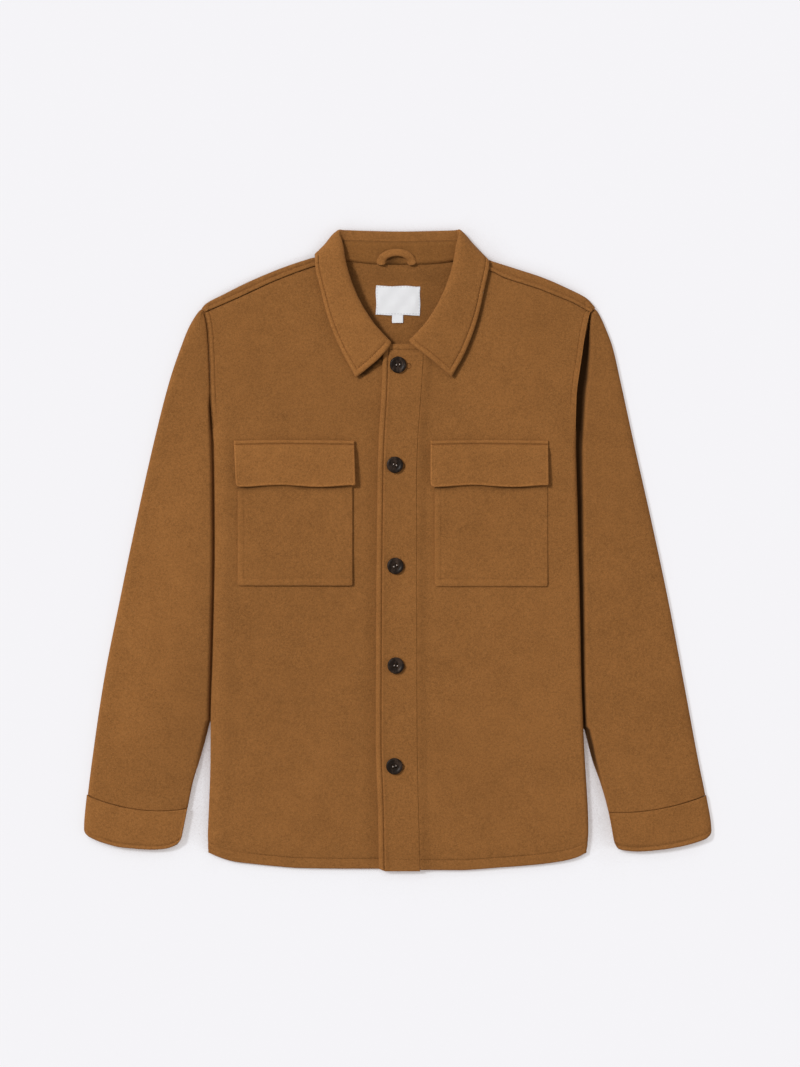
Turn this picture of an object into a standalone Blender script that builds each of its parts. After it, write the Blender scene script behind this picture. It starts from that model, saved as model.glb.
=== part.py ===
"""A wool overshirt jacket, buttoned and laid flat on its back.

Metres, +Z up, floor at z = 0. +Y points to the collar and +X to the wearer's left, which is the
right of the picture. Each piece is an open middle surface, placed from a flat grid by a function of
its own, and thickened on both sides.
"""

import math

import bmesh
import bpy
from mathutils import Vector

# Cloth
CLOTH = 0.0020            # one ply of felted wool
DOUBLE = 0.0028           # two plies, turned and pressed
GAP = 0.0003              # between neighbouring pieces

# Heights above the floor
BODY_TOP = 0.0076         # outer face of a front or a sleeve
FLOOR_MID = CLOTH / 2     # middle of the layer on the floor
TOP_MID = BODY_TOP - CLOTH / 2
LAP_STEP = 0.0027         # the left front is lifted by the front it laps over
LAP_RAMP = 0.014          # and comes down over this width
HEM_DROP = 0.0023         # the fronts sink to the back at the hem
HEM_RAMP = 0.026
CUFF_TOP = 0.0084

# Edges of the body
UNDERARM = 0.131          # y of the underarm point
SIDE_FLAP = 0.0060        # width of the front that lies under the side fold
HEM_MIDDLE = -0.384
HEM_RISE = 0.016          # how much higher the hem is at the sides
HEM_HALF = 0.215
HEM_POWER = 2.6

# Sleeves
SLEEVE_TILT = 0.15        # the cross rows sink towards the body by this share of their length
SLEEVE_ROLL = 0.008       # width of the rounding along the folds, on top
LOW_ROLL = 0.0035         # and beneath
FOLD_HEIGHT = 0.42        # height of the fold's outermost line, between the lower and upper layer
SLIVER = 0.0006           # room of the fold's columns where the sleeve opens into the body
BOW_START = -0.150        # the rows begin to bow here
CUFF_BOW = 0.0085         # depth of the bow at the cuff seam
HEM_BOW = 0.0130          # and at the cuff's free edge
CUFF_SEAM = -0.3100       # y of the inner end of the cuff seam
CUFF_PROUD = 0.0012       # the cuff stands out this far beyond the sleeve's outer fold
CUFF_INSET = 0.0004       # what its thicker cloth needs on each side

# Collar
LEAF_RAMP = 0.012         # the back climbs over the folded leaf within this length
LEAF_EARLY = 1.35         # and is up this many lengths after its start, before the leaf's edge
LEAF_LIFT = DOUBLE + GAP
LEAF_EDGE = 0.3385        # y of the leaf's free edge behind the neck
LEAF_EDGE_RISE = 0.014
LEAF_EDGE_HALF = 0.104
MIDDLE = 0.0045           # x of the collar's middle

# Side line of the body from the hem up the armhole, y and x
SIDE = {
    "right": ((-0.363, -0.2278), (-0.337, -0.2269), (-0.252, -0.2248), (-0.198, -0.2243),
              (-0.113, -0.2218), (0.010, -0.2196), (0.132, -0.2206), (0.180, -0.2238),
              (0.230, -0.2254), (0.2674, -0.2279), (0.2845, -0.2316), (0.2915, -0.2340)),
    "left": ((-0.363, 0.2262), (-0.337, 0.2270), (-0.230, 0.2230), (-0.162, 0.2202),
             (-0.064, 0.2183), (0.034, 0.2158), (0.132, 0.2134), (0.180, 0.2144),
             (0.2342, 0.2213), (0.2576, 0.2248), (0.2740, 0.2280), (0.2845, 0.2312),
             (0.2905, 0.2350)),
}
# Outer fold of the sleeve, y and x
OUTER = {
    "right": ((-0.355, -0.3758), (-0.3365, -0.3758), (-0.292, -0.3712), (-0.252, -0.3662),
              (-0.156, -0.3520), (-0.060, -0.3330), (0.036, -0.3130), (0.132, -0.2915),
              (0.204, -0.2730), (0.2508, -0.2569), (0.2674, -0.2500), (0.2838, -0.2404)),
    "left": ((-0.355, 0.3764), (-0.339, 0.3764), (-0.2936, 0.3690), (-0.252, 0.3606),
             (-0.156, 0.3428), (-0.060, 0.3246), (0.036, 0.3042), (0.132, 0.2826),
             (0.204, 0.2670), (0.2438, 0.2578), (0.2618, 0.2524), (0.2770, 0.2454)),
}
# Inner fold of the sleeve below the place where it leaves the body, y and x
INNER = {
    "right": ((-0.3487, -0.2608), (-0.324, -0.2562), (-0.300, -0.2514), (-0.276, -0.2466),
              (-0.252, -0.2382), (-0.228, -0.2310), (-0.206, -0.2252)),
    "left": ((-0.3535, 0.2614), (-0.324, 0.2556), (-0.300, 0.2500), (-0.276, 0.2430),
             (-0.252, 0.2346), (-0.228, 0.2286), (-0.212, 0.2240)),
}
# Top edge of each front: the shoulder seam, then the neckline, x and y
FRONT_TOP = {
    "right": ((-0.2316, 0.2845), (-0.1921, 0.3018), (-0.1508, 0.3210), (-0.1232, 0.3320),
              (-0.0998, 0.3400), (-0.0790, 0.3425), (-0.0730, 0.3380), (-0.0602, 0.3030),
              (-0.0400, 0.2670), (-0.0100, 0.2470), (0.0190, 0.2465)),
    "left": ((0.0310, 0.2470), (0.0450, 0.2660), (0.0650, 0.3010), (0.0785, 0.3370),
             (0.0860, 0.3420), (0.1111, 0.3348), (0.1283, 0.3258), (0.1697, 0.3127),
             (0.2110, 0.2960), (0.2310, 0.2845)),
}
# Shoulder fold as the picture's outline shows it, x and y
FOLD = ((-0.2360, 0.2915), (-0.2087, 0.3066), (-0.1783, 0.3224), (-0.1370, 0.3403),
        (-0.1100, 0.3472), (-0.0985, 0.3486), (-0.0790, 0.3492), (0.0860, 0.3490),
        (0.1060, 0.3470), (0.1130, 0.3455), (0.1421, 0.3383), (0.1765, 0.3272), (0.2041, 0.3142),
        (0.2248, 0.3031), (0.2360, 0.2905))
# Neck seam of the back, x and y
NECK = ((-0.0790, 0.3500), (-0.0598, 0.3470), (-0.0246, 0.3438), (0.0222, 0.3445),
        (0.0654, 0.3470), (0.0860, 0.3490))
NECK_RIGHT = -0.0790
NECK_LEFT = 0.0860

# Placket, y, left edge and seam
PLACKET = ((-0.3850, -0.0224, 0.0272), (-0.313, -0.0235, 0.0253), (-0.228, -0.0262, 0.0236),
           (-0.092, -0.0258, 0.0232), (0.084, -0.0241, 0.0230), (0.126, -0.0230, 0.0240),
           (0.184, -0.0196, 0.0280), (0.230, -0.0179, 0.0310), (0.2470, -0.0172, 0.0320))
PLACKET_TOP = 0.2470
LAP_EDGE = 0.0190         # x of the right front's hidden edge under the placket

# Collar stations from the right wing's front edge round to the middle of the back. Columns: the
# place, then x, y, z of the stand seam, the turn up, the roll, the leaf beside it, its middle and
# its free edge
COLLAR_RIGHT = (
    (0.00, (-.0128, .2486, .0104), (-.0110, .2494, .0110), (-.0093, .2497, .0126),
     (-.0130, .2446, .0148), (-.0305, .2266, .0158), (-.0497, .2068, .0144)),
    (0.22, (-.0342, .2704, .0112), (-.0322, .2717, .0122), (-.0306, .2727, .0152),
     (-.0345, .2702, .0178), (-.0500, .2570, .0180), (-.0664, .2367, .0152)),
    (0.50, (-.0548, .3060, .0120), (-.0527, .3071, .0130), (-.0509, .3079, .0160),
     (-.0550, .3058, .0188), (-.0680, .2940, .0186), (-.0826, .2760, .0152)),
    (0.76, (-.0662, .3428, .0114), (-.0643, .3435, .0125), (-.0627, .3440, .0154),
     (-.0668, .3425, .0180), (-.0800, .3320, .0166), (-.0930, .3159, .0128)),
    (0.93, (-.0695, .3620, .0106), (-.0682, .3632, .0117), (-.0664, .3660, .0142),
     (-.0708, .3652, .0164), (-.0850, .3550, .0142), (-.0985, .3410, .0116)),
    (1.00, (-.0712, .3668, .0088), (-.0700, .3728, .0096), (-.0708, .3785, .0106),
     (-.0762, .3766, .0093), (-.0872, .3648, .0070), (-.0992, .3530, .0062)),
    (1.05, (-.0690, .3690, .0072), (-.0684, .3770, .0082), (-.0685, .3806, .0068),
     (-.0720, .3786, .0046), (-.0805, .3675, .0026), (-.0932, .3522, .0018)),
    (1.10, (-.0620, .3694, .0066), (-.0622, .3788, .0052), (-.0624, .3808, .0034),
     (-.0650, .3786, .0015), (-.0720, .3640, .0014), (-.0810, .3480, .0014)),
    (1.35, (-.0280, .3684, .0062), (-.0285, .3788, .0051), (-.0290, .3806, .0033),
     (-.0300, .3788, .0014), (-.0320, .3610, .0014), (-.0350, .3405, .0014)),
    (1.60, (.0045, .3676, .0061), (.0045, .3782, .0051), (.0045, .3800, .0033),
     (.0045, .3782, .0014), (.0045, .3600, .0014), (.0045, .3385, .0014)),
)
# How far each of these columns of the left wing lies outward of the mirrored right wing
LEFT_WING_OUT = (-0.0039, -0.0039, -0.0039, -0.0036, 0.0008, 0.0046)
# Stand stations: the same places, then x, y, z of the neck seam
STAND_RIGHT = (
    (0.16, (-.0330, .2660, .0106)),
    (0.22, (-.0385, .2690, .0104)),
    (0.50, (-.0600, .3030, .0098)),
    (0.76, (-.0725, .3415, .0096)),
    (0.93, (-.0765, .3485, .0096)),
    (1.00, (-.0782, .3522, .0078)),
    (1.05, (-.0735, .3512, .0058)),
    (1.10, (-.0620, .3490, .0047)),
    (1.35, (-.0270, .3452, .0045)),
    (1.60, (.0045, .3446, .0045)),
)
COLLAR_TURN = 1.60        # the place at the middle of the back
# How far the stand stops below the leaf's seam: the same places and the room left
STAND_ROOM = ((0.00, 0.0012), (0.76, 0.0012), (0.93, 0.0031), (1.05, 0.0031), (1.10, 0.0004),
              (1.60, GAP))
LEAF_SHARES = (0.0, 0.2, 0.3, 0.4, 0.5, 0.6, 0.7, 0.85, 1.0)

# Pockets and flaps: x of both sides, y of top and bottom
POCKET = {"right": (-0.1915, -0.0537, 0.118, -0.0430), "left": (0.0443, 0.1800, 0.118, -0.0440)}
FLAP = {"right": (-0.1960, -0.0500, 0.132, 0.0765), "left": (0.0395, 0.1810, 0.132, 0.0765)}
FLAP_START = 0.004        # depth at which it starts to climb on to the pocket
FLAP_RAMP = 0.012         # and the climb's own depth

# Neck label and tab on the inside of the back: x of both sides, y of top and bottom
LABEL = (-0.0258, 0.0270, 0.3168, 0.2820)
TAB = (-0.0066, 0.0066, 0.2817, 0.2724)
LABEL_THICK = 0.0005

# Hanger loop, an arch over the neck seam
LOOP_MIDDLE = -0.0015
LOOP_HALF = 0.0225
LOOP_FOOT = 0.3440
LOOP_RISE = 0.0150
LOOP_WIDTH = 0.0076
LOOP_THICK = 0.0022
LOOP_CLEAR = 0.0005       # room between the loop and the stand

# Buttons, from the neck down
BUTTONS = ((0.0005, 0.2215), (-0.0030, 0.1020), (-0.0030, -0.0190), (-0.0030, -0.1380),
           (-0.0037, -0.2586))
BUTTON_RADIUS = 0.0100
BUTTON_THICK = 0.0034
BUTTON_SINK = 0.0009
HOLE_RADIUS = 0.0009
HOLE_OFFSET = 0.0018
STEPS = 20

WOOL = (0.246, 0.102, 0.030)
WOOL_DARK = (0.160, 0.064, 0.018)
LABEL_WHITE = (0.80, 0.80, 0.80)
HORN = (0.026, 0.016, 0.011)


def clear_scene():
    for old in list(bpy.data.objects):
        bpy.data.objects.remove(old, do_unlink=True)


def new_collection(name):
    group = bpy.data.collections.new(name)
    bpy.context.scene.collection.children.link(group)
    return group


def finish(name, colour, roughness):
    material = bpy.data.materials.new(name)
    material.use_nodes = True
    shader = material.node_tree.nodes["Principled BSDF"]
    shader.inputs["Base Color"].default_value = (*colour, 1.0)
    shader.inputs["Roughness"].default_value = roughness
    shader.inputs["Metallic"].default_value = 0.0
    return material


def smooth_step(value):
    value = min(max(value, 0.0), 1.0)
    return value * value * (3.0 - 2.0 * value)


def mix(start, end, share):
    return start + (end - start) * share


def follow(table, at, column=1):
    """A smooth curve, with no overshoot, through one column of a table sorted by its first."""
    keys = [row[0] for row in table]
    values = [row[column] for row in table]
    if at <= keys[0]:
        return values[0]
    if at >= keys[-1]:
        return values[-1]
    spans = [keys[k + 1] - keys[k] for k in range(len(keys) - 1)]
    slopes = [(values[k + 1] - values[k]) / spans[k] for k in range(len(spans))]
    k = max(i for i in range(len(spans)) if keys[i] <= at)

    def tangent(i):
        if i == 0:
            return slopes[0]
        if i == len(spans):
            return slopes[-1]
        before, after = slopes[i - 1], slopes[i]
        return 2.0 * before * after / (before + after) if before * after > 0.0 else 0.0

    t = (at - keys[k]) / spans[k]
    return (values[k] * (1 + 2 * t) * (1 - t) ** 2 + values[k + 1] * t * t * (3 - 2 * t)
            + spans[k] * (tangent(k) * t * (1 - t) ** 2 - tangent(k + 1) * t * t * (1 - t)))


def straight(table, at, column=1):
    """The same, but with straight runs and true corners."""
    for low, high in zip(table, table[1:]):
        if at <= high[0]:
            return mix(low[column], high[column], max(0.0, (at - low[0]) / (high[0] - low[0])))
    return table[-1][column]


def spaced(count, start=0.0, end=1.0):
    return [mix(start, end, k / count) for k in range(count + 1)]


def sheet(name, group, columns, rows, place, thickness, colour=WOOL, keep=None, closed=False):
    """A grid of the given columns and rows, placed by place(column, row) and thickened."""
    wide, high = len(columns) - 1, len(rows) - 1
    form = bmesh.new()
    bmesh.ops.create_grid(form, x_segments=wide, y_segments=high, size=0.5)
    if keep:
        spare = []
        for face in form.faces:
            middle = face.calc_center_median()
            cell = (math.floor((middle.x + 0.5) * wide), math.floor((middle.y + 0.5) * high))
            if not keep(*cell):
                spare.append(face)
        bmesh.ops.delete(form, geom=spare, context="FACES")
    for vert in form.verts:
        i = round((vert.co.x + 0.5) * wide)
        j = round((vert.co.y + 0.5) * high)
        vert.co = place(columns[i], rows[j])
    if closed:
        bmesh.ops.remove_doubles(form, verts=form.verts, dist=1e-6)
    bmesh.ops.recalc_face_normals(form, faces=form.faces)
    mesh = bpy.data.meshes.new(name)
    form.to_mesh(mesh)
    form.free()
    mesh.materials.append(finish(name, colour, 0.95))
    piece = bpy.data.objects.new(name, mesh)
    group.objects.link(piece)
    wall = piece.modifiers.new("cloth", "SOLIDIFY")
    wall.thickness = thickness
    wall.offset = 0.0
    wall.use_even_offset = False
    return piece


# Outlines and heights of the body

def hem_line(x):
    return HEM_MIDDLE + HEM_RISE * abs(x / HEM_HALF) ** HEM_POWER


def front_height(side, x, y):
    """Outer face of a front above the floor."""
    height = BODY_TOP
    if side == "left":
        height += LAP_STEP * (1.0 - smooth_step((x - follow(PLACKET, y, 2)) / LAP_RAMP))
    return height - HEM_DROP * (1.0 - smooth_step((y - hem_line(x)) / HEM_RAMP))


def leaf_edge(x):
    return LEAF_EDGE + LEAF_EDGE_RISE * ((x - MIDDLE) / LEAF_EDGE_HALF) ** 2


def back_mid(x, y):
    """Middle of the back's cloth, which climbs over the folded collar behind the neck."""
    climb = smooth_step((y - leaf_edge(x)) / LEAF_RAMP + LEAF_EARLY)
    return FLOOR_MID + LEAF_LIFT * climb


# Rows of the body and the armhole, shared by the fronts, the back and the sleeves
ARM_ROWS = (0.131, 0.150, 0.176, 0.204, 0.231, 0.250, 0.262, 0.270, 0.2775, 0.2845)
BODY_ROWS = (-0.363, -0.350, -0.337, -0.300, -0.250, -0.190, -0.120, -0.050, 0.020, 0.080, 0.126)
ROWS = BODY_ROWS + ARM_ROWS
ROW_SHARES = [(y - ROWS[0]) / (ROWS[-1] - ROWS[0]) for y in ROWS]
BACK_ROWS = ROWS + (0.290,)
# Columns of the shoulder seams, shared by the fronts and the back, and those of the necklines
SHOULDER_X = {"right": (-0.2316, -0.205, -0.170, -0.140, -0.110, -0.094, -0.079),
              "left": (0.086, 0.100, 0.118, 0.150, 0.180, 0.208, 0.231)}
NECKLINE_X = {"right": (-0.073, -0.060, -0.040, -0.025, -0.010, 0.005, 0.019),
              "left": (0.0785, 0.065, 0.052, 0.045, 0.038, 0.0323)}
BACK_NECK_X = (-0.060, -0.030, 0.0, 0.030, 0.060)
ARC_STEPS = 5
WRAP_ARC = 0.72           # share of the wrap's columns that is the round fold


def build_front(side, group):
    """Columns run from under the side fold (below 0), over the fold (0) and on to the centre."""
    sign = -1.0 if side == "right" else 1.0
    tops = SHOULDER_X[side] if side == "right" else tuple(reversed(SHOULDER_X[side]))
    tops += NECKLINE_X[side]
    shares = [(x - tops[0]) / (tops[-1] - tops[0]) for x in tops]
    wrap = [-1.0] + [-WRAP_ARC * k / ARC_STEPS for k in range(ARC_STEPS, 0, -1)]

    def centre(y):
        return LAP_EDGE if side == "right" else follow(PLACKET, y, 2) + GAP / 2

    def side_edge(y):
        inset = GAP / 2 if y > UNDERARM - 0.001 else BODY_TOP / 2
        return follow(SIDE[side], y) - sign * inset

    def on_top(u, v):
        at_side = mix(ROWS[0], ROWS[-1], v)
        x_low = mix(side_edge(ROWS[0]), centre(HEM_MIDDLE), u)
        x_high = mix(tops[0], tops[-1], u)
        y = mix(hem_line(x_low), straight(FRONT_TOP[side], x_high) - GAP / 2, v)
        if u == 0.0:
            y = at_side if v < 1.0 else y
        x = mix(side_edge(y), centre(y), u)
        if u > 0.0:
            x = mix(x, x_high, smooth_step((v - 0.9) / 0.1))
        return x, y, front_height(side, x, y) - CLOTH / 2

    def place(u, v):
        if u >= 0.0:
            return on_top(u, v)
        x, y, z = on_top(0.0, v)
        radius = (z - FLOOR_MID) / 2
        turn = min(-u / WRAP_ARC, 1.0) * math.pi
        flap = max(-u - WRAP_ARC, 0.0) / (1.0 - WRAP_ARC) * SIDE_FLAP
        return (x + sign * (radius * math.sin(turn) - flap), y,
                FLOOR_MID + radius * (1.0 + math.cos(turn)))

    last_wrap_row = len(BODY_ROWS) - 1

    def keep(i, j):
        return i >= len(wrap) or j < last_wrap_row

    return sheet("front_" + side, group, wrap + shares, ROW_SHARES, place, CLOTH, keep=keep)


def build_back(group):
    """Rows run up from the hem (0) to the shoulder (1), round the fold (2) and to the seam (3)."""
    columns_x = SHOULDER_X["right"] + BACK_NECK_X + SHOULDER_X["left"]
    first, last = columns_x[0], columns_x[-1]
    columns = [(x - first) / (last - first) for x in columns_x]
    height = BACK_ROWS[-1] - BACK_ROWS[0]
    rows = [(y - BACK_ROWS[0]) / height for y in BACK_ROWS]
    rows += [1.0 + k / ARC_STEPS for k in range(1, ARC_STEPS + 1)] + [2.5, 3.0]

    def sides(y):
        inset = GAP / 2 if y > UNDERARM - 0.001 else BODY_TOP / 2 + SIDE_FLAP + GAP
        return follow(SIDE["right"], y) + inset, follow(SIDE["left"], y) - inset

    def fold_centre(x):
        """Where the lower layer starts to turn up: its y, the fold's radius and its lower z."""
        outer = follow(FOLD, x)
        z_low = back_mid(x, outer - BODY_TOP / 2)
        radius = (TOP_MID - z_low) / 2
        return outer - CLOTH / 2 - radius, radius, z_low

    def place(u, v):
        x_top = mix(first, last, u)
        at_neck = NECK_RIGHT + 1e-6 < x_top < NECK_LEFT - 1e-6
        y_top = follow(NECK, x_top) - GAP / 2 if at_neck else fold_centre(x_top)[0]
        if v <= 1.0:
            x_low = mix(*sides(ROWS[0]), u)
            y = mix(hem_line(x_low), y_top, v)
            if u in (0.0, 1.0):
                y = BACK_ROWS[0] + height * v if v < 1.0 else y_top
            x = mix(*sides(y), u)
            if 0.0 < u < 1.0:
                x = mix(x, x_top, smooth_step((v - 0.9) / 0.1))
            return x, y, back_mid(x, y)
        y_centre, radius, z_low = fold_centre(x_top)
        turn = min(v - 1.0, 1.0) * math.pi
        y = y_centre + radius * math.sin(turn)
        z = z_low + radius * (1.0 - math.cos(turn))
        if v > 2.0:
            side = "right" if x_top < 0.0 else "left"
            y = mix(y_centre, straight(FRONT_TOP[side], x_top) + GAP / 2, v - 2.0)
        return mix(*sides(y), u) if u in (0.0, 1.0) else x_top, y, z

    neck = range(len(SHOULDER_X["right"]) - 1, len(SHOULDER_X["right"]) + len(BACK_NECK_X))
    first_fold = len(BACK_ROWS) - 1

    def keep(i, j):
        return j < first_fold or i not in neck

    return sheet("back", group, columns, rows, place, CLOTH, keep=keep)


def sleeve_rows():
    """The y of each cross row at its inner end, from the shoulder down to the cuff seam."""
    folds = (0.124, 0.090, 0.045, -0.010, -0.065, -0.120, -0.170, -0.206, -0.228, -0.252, -0.276)
    return tuple(reversed(ARM_ROWS)) + folds + (CUFF_SEAM,)


def tube_columns():
    """Named stretches round a flattened tube: (stretch, share of it)."""
    ring = [("outer_top", k / 3) for k in range(3)]
    ring += [("top", k / 6) for k in range(6)]
    ring += [("inner_top", k / 3) for k in range(4)]
    ring += [("inner_low", k / 2) for k in range(1, 3)]
    ring += [("low", k / 5) for k in range(1, 6)]
    ring += [("outer_low", k / 2) for k in range(1, 3)]
    return ring


def tube_point(start, end, stretch, share, z_low, z_top, open_inside):
    """A point on the ring between the outer fold at start and the inner fold at end."""
    length = math.hypot(end[0] - start[0], end[1] - start[1])
    z_fold = mix(z_low, z_top, FOLD_HEIGHT)
    outer = min(SLEEVE_ROLL, FOLD_HEIGHT * length)
    inner = 0.0 if open_inside else SLEEVE_ROLL
    low_roll = min(LOW_ROLL, 0.3 * length)
    quarter = share * math.pi / 2
    if stretch == "outer_top":
        along, z = outer * (1 - math.cos(quarter)), mix(z_fold, z_top, math.sin(quarter))
    elif stretch == "top":
        along, z = mix(outer, length - inner, share), z_top
    elif stretch == "inner_top":
        along = length - inner * (1 - math.sin(quarter))
        z = z_top if open_inside else mix(z_fold, z_top, math.cos(quarter))
        if open_inside:
            along = length - SLIVER * (1 - share)
    elif stretch == "inner_low":
        along = length - (0.0 if open_inside else low_roll * (1 - math.cos(quarter)))
        z = z_low if open_inside else mix(z_fold, z_low, math.sin(quarter))
        if open_inside:
            along = length - SLIVER * share
    elif stretch == "low":
        begin = length - (SLIVER if open_inside else low_roll)
        along, z = mix(begin, low_roll, share), z_low
    else:
        along, z = low_roll * (1 - math.sin(quarter)), mix(z_fold, z_low, math.cos(quarter))
    return along / length, z


def sleeve_ends(side, y_inner):
    """Outer and inner end of a cross row, each as x and y of the cloth's middle."""
    sign = -1.0 if side == "right" else 1.0
    if y_inner > UNDERARM + 0.001:
        x_inner = follow(SIDE[side], y_inner) + sign * GAP / 2
    elif y_inner > INNER[side][-1][0]:
        x_inner = follow(SIDE[side], y_inner) + sign * (GAP + CLOTH / 2)
    else:
        x_inner = follow(INNER[side], y_inner) + sign * CLOTH / 2
    if y_inner >= ARM_ROWS[-1]:
        y_fold = (FOLD[0] if side == "right" else FOLD[-1])[1] - CLOTH / 2
        return (follow(SIDE[side], y_fold) + sign * 2 * GAP, y_fold), (x_inner, y_inner)
    y_outer = y_inner
    for _ in range(4):
        x_outer = follow(OUTER[side], y_outer) - sign * CLOTH / 2
        y_outer = y_inner + SLEEVE_TILT * abs(x_outer - x_inner)
    return (x_outer, y_outer), (x_inner, y_inner)


def build_sleeve(side, group):
    rows = sleeve_rows()
    ring = tube_columns()

    def place(column, y_inner):
        start, end = sleeve_ends(side, y_inner)
        stretch, share = column
        open_inside = y_inner > UNDERARM - 0.001
        part, z = tube_point(start, end, stretch, share, FLOOR_MID, TOP_MID, open_inside)
        bow = CUFF_BOW * smooth_step((BOW_START - y_inner) / (BOW_START - CUFF_SEAM))
        x = mix(start[0], end[0], part)
        y = mix(start[1], end[1], part) - bow * 4 * part * (1 - part)
        if y_inner == CUFF_SEAM:
            y += GAP / 2
        return x, y, z

    seam_column = ring.index(("inner_top", 1.0))
    open_rows = len(ARM_ROWS) - 1

    def keep(i, j):
        return i != seam_column or j >= open_rows

    return sheet("sleeve_" + side, group, ring, rows, place, CLOTH, keep=keep, closed=True)


def build_cuff(side, group):
    sign = -1.0 if side == "right" else 1.0
    ring = tube_columns()
    z_low, z_top = DOUBLE / 2, CUFF_TOP - DOUBLE / 2

    def place(column, share_down):
        stretch, share = column
        y_inner = mix(CUFF_SEAM, INNER[side][0][0], share_down)
        (x_outer, y_outer), (x_inner, _) = sleeve_ends(side, y_inner)
        x_outer += sign * (CUFF_PROUD * (1.0 - share_down) - CUFF_INSET)
        x_inner += sign * CUFF_INSET
        part, z = tube_point((x_outer, y_outer), (x_inner, y_inner), stretch, share,
                             z_low, z_top, False)
        bow = mix(CUFF_BOW, HEM_BOW, share_down)
        y = mix(y_outer, y_inner, part) - bow * 4 * part * (1 - part)
        if share_down == 0.0:
            y -= GAP / 2
        return mix(x_outer, x_inner, part), y, z

    return sheet("cuff_" + side, group, ring, spaced(4), place, DOUBLE, closed=True)


def build_placket(group):
    low, high = PLACKET[0][0], PLACKET_TOP

    def place(u, v):
        y = mix(low, high, v)
        x = mix(follow(PLACKET, y, 1), follow(PLACKET, y, 2) - GAP / 2, u)
        z = front_height("right", min(x, 0.0), y) + GAP + DOUBLE / 2
        return x, y, z

    return sheet("placket", group, spaced(5), ROW_SHARES, place, DOUBLE)


def full_collar(rows):
    """The stations of both halves: the left is the right mirrored and spread to its own width."""
    other = []
    for place, *points in reversed(rows[:-1]):
        in_wing = 1.0 - smooth_step((place - 0.93) / 0.17)
        mirrored = [(2 * MIDDLE - x + out * in_wing, y, z)
                    for (x, y, z), out in zip(points, LEFT_WING_OUT)]
        other.append((2 * COLLAR_TURN - place, *mirrored))
    return list(rows) + other


def station_point(table, at, column):
    return [follow([(row[0], row[column][axis]) for row in table], at) for axis in range(3)]


def across(points, share):
    """A centripetal Catmull-Rom curve through the points of one cross-section."""
    points = [Vector(point) for point in points]
    points = [2 * points[0] - points[1], *points, 2 * points[-1] - points[-2]]
    last = len(points) - 3
    k = min(int(share * last), last - 1)
    a, b, c, d = points[k:k + 4]
    t0 = 0.0
    t1 = t0 + (b - a).length ** 0.5
    t2 = t1 + (c - b).length ** 0.5
    t3 = t2 + (d - c).length ** 0.5
    t = mix(t1, t2, share * last - k)
    ab, bc, cd = (p.lerp(q, (t - low) / (high - low))
                  for p, q, low, high in ((a, b, t0, t1), (b, c, t1, t2), (c, d, t2, t3)))
    abc = ab.lerp(bc, (t - t0) / (t2 - t0))
    bcd = bc.lerp(cd, (t - t1) / (t3 - t1))
    return abc.lerp(bcd, (t - t1) / (t2 - t1))


def build_collar(group):
    table = full_collar(COLLAR_RIGHT)
    places = [0.0, 0.11, 0.22, 0.36, 0.50, 0.63, 0.76, 0.85, 0.93, 0.97, 1.0, 1.05, 1.10, 1.22,
              1.35, 1.48, 1.60]
    places += [2 * COLLAR_TURN - at for at in reversed(places[:-1])]

    def place(share, at):
        points = [station_point(table, at, column) for column in range(1, 7)]
        x, y, z = across(points, share)
        return x, y, max(z, DOUBLE / 2)

    return sheet("collar", group, LEAF_SHARES, places, place, DOUBLE)


def build_stand(group):
    leaf = full_collar(COLLAR_RIGHT)
    seam = full_collar(STAND_RIGHT)
    places = [0.16, 0.22, 0.36, 0.50, 0.63, 0.76, 0.85, 0.93, 1.0, 1.05, 1.10, 1.22, 1.35, 1.48,
              1.60]
    places += [2 * COLLAR_TURN - at for at in reversed(places[:-1])]

    def place(share, at):
        low = station_point(seam, at, 1)
        high = station_point(leaf, at, 1)
        room = follow(STAND_ROOM, COLLAR_TURN - abs(at - COLLAR_TURN))
        share = share * (1.0 - room / math.dist(low, high))
        return [mix(a, b, share) for a, b in zip(low, high)]

    return sheet("collar_stand", group, spaced(3), places, place, DOUBLE, colour=WOOL_DARK)


def flat_piece(name, group, box, z_mid, thickness, columns=6, rows=6, colour=WOOL, z_of=None):
    x_low, x_high, y_high, y_low = box

    def place(u, v):
        x, y = mix(x_low, x_high, u), mix(y_low, y_high, v)
        return x, y, z_of(x, y) if z_of else z_mid

    return sheet(name, group, spaced(columns), spaced(rows), place, thickness, colour=colour)


def build_pockets(side, group):
    on_front = BODY_TOP + GAP + CLOTH / 2
    flat_piece("pocket_" + side, group, POCKET[side], on_front, CLOTH)
    sewn = BODY_TOP + GAP + DOUBLE / 2
    lifted = sewn + CLOTH + GAP

    def flap_height(_, y):
        top = FLAP[side][2]
        return mix(sewn, lifted, smooth_step((top - FLAP_START - y) / FLAP_RAMP))

    flat_piece("flap_" + side, group, FLAP[side], 0.0, DOUBLE, columns=6, rows=12,
               z_of=flap_height)


def build_labels(group):
    z_mid = CLOTH + GAP + LABEL_THICK / 2
    flat_piece("label", group, LABEL, z_mid, LABEL_THICK, 3, 2, LABEL_WHITE)
    flat_piece("size_tab", group, TAB, z_mid, LABEL_THICK, 2, 2, LABEL_WHITE)


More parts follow.
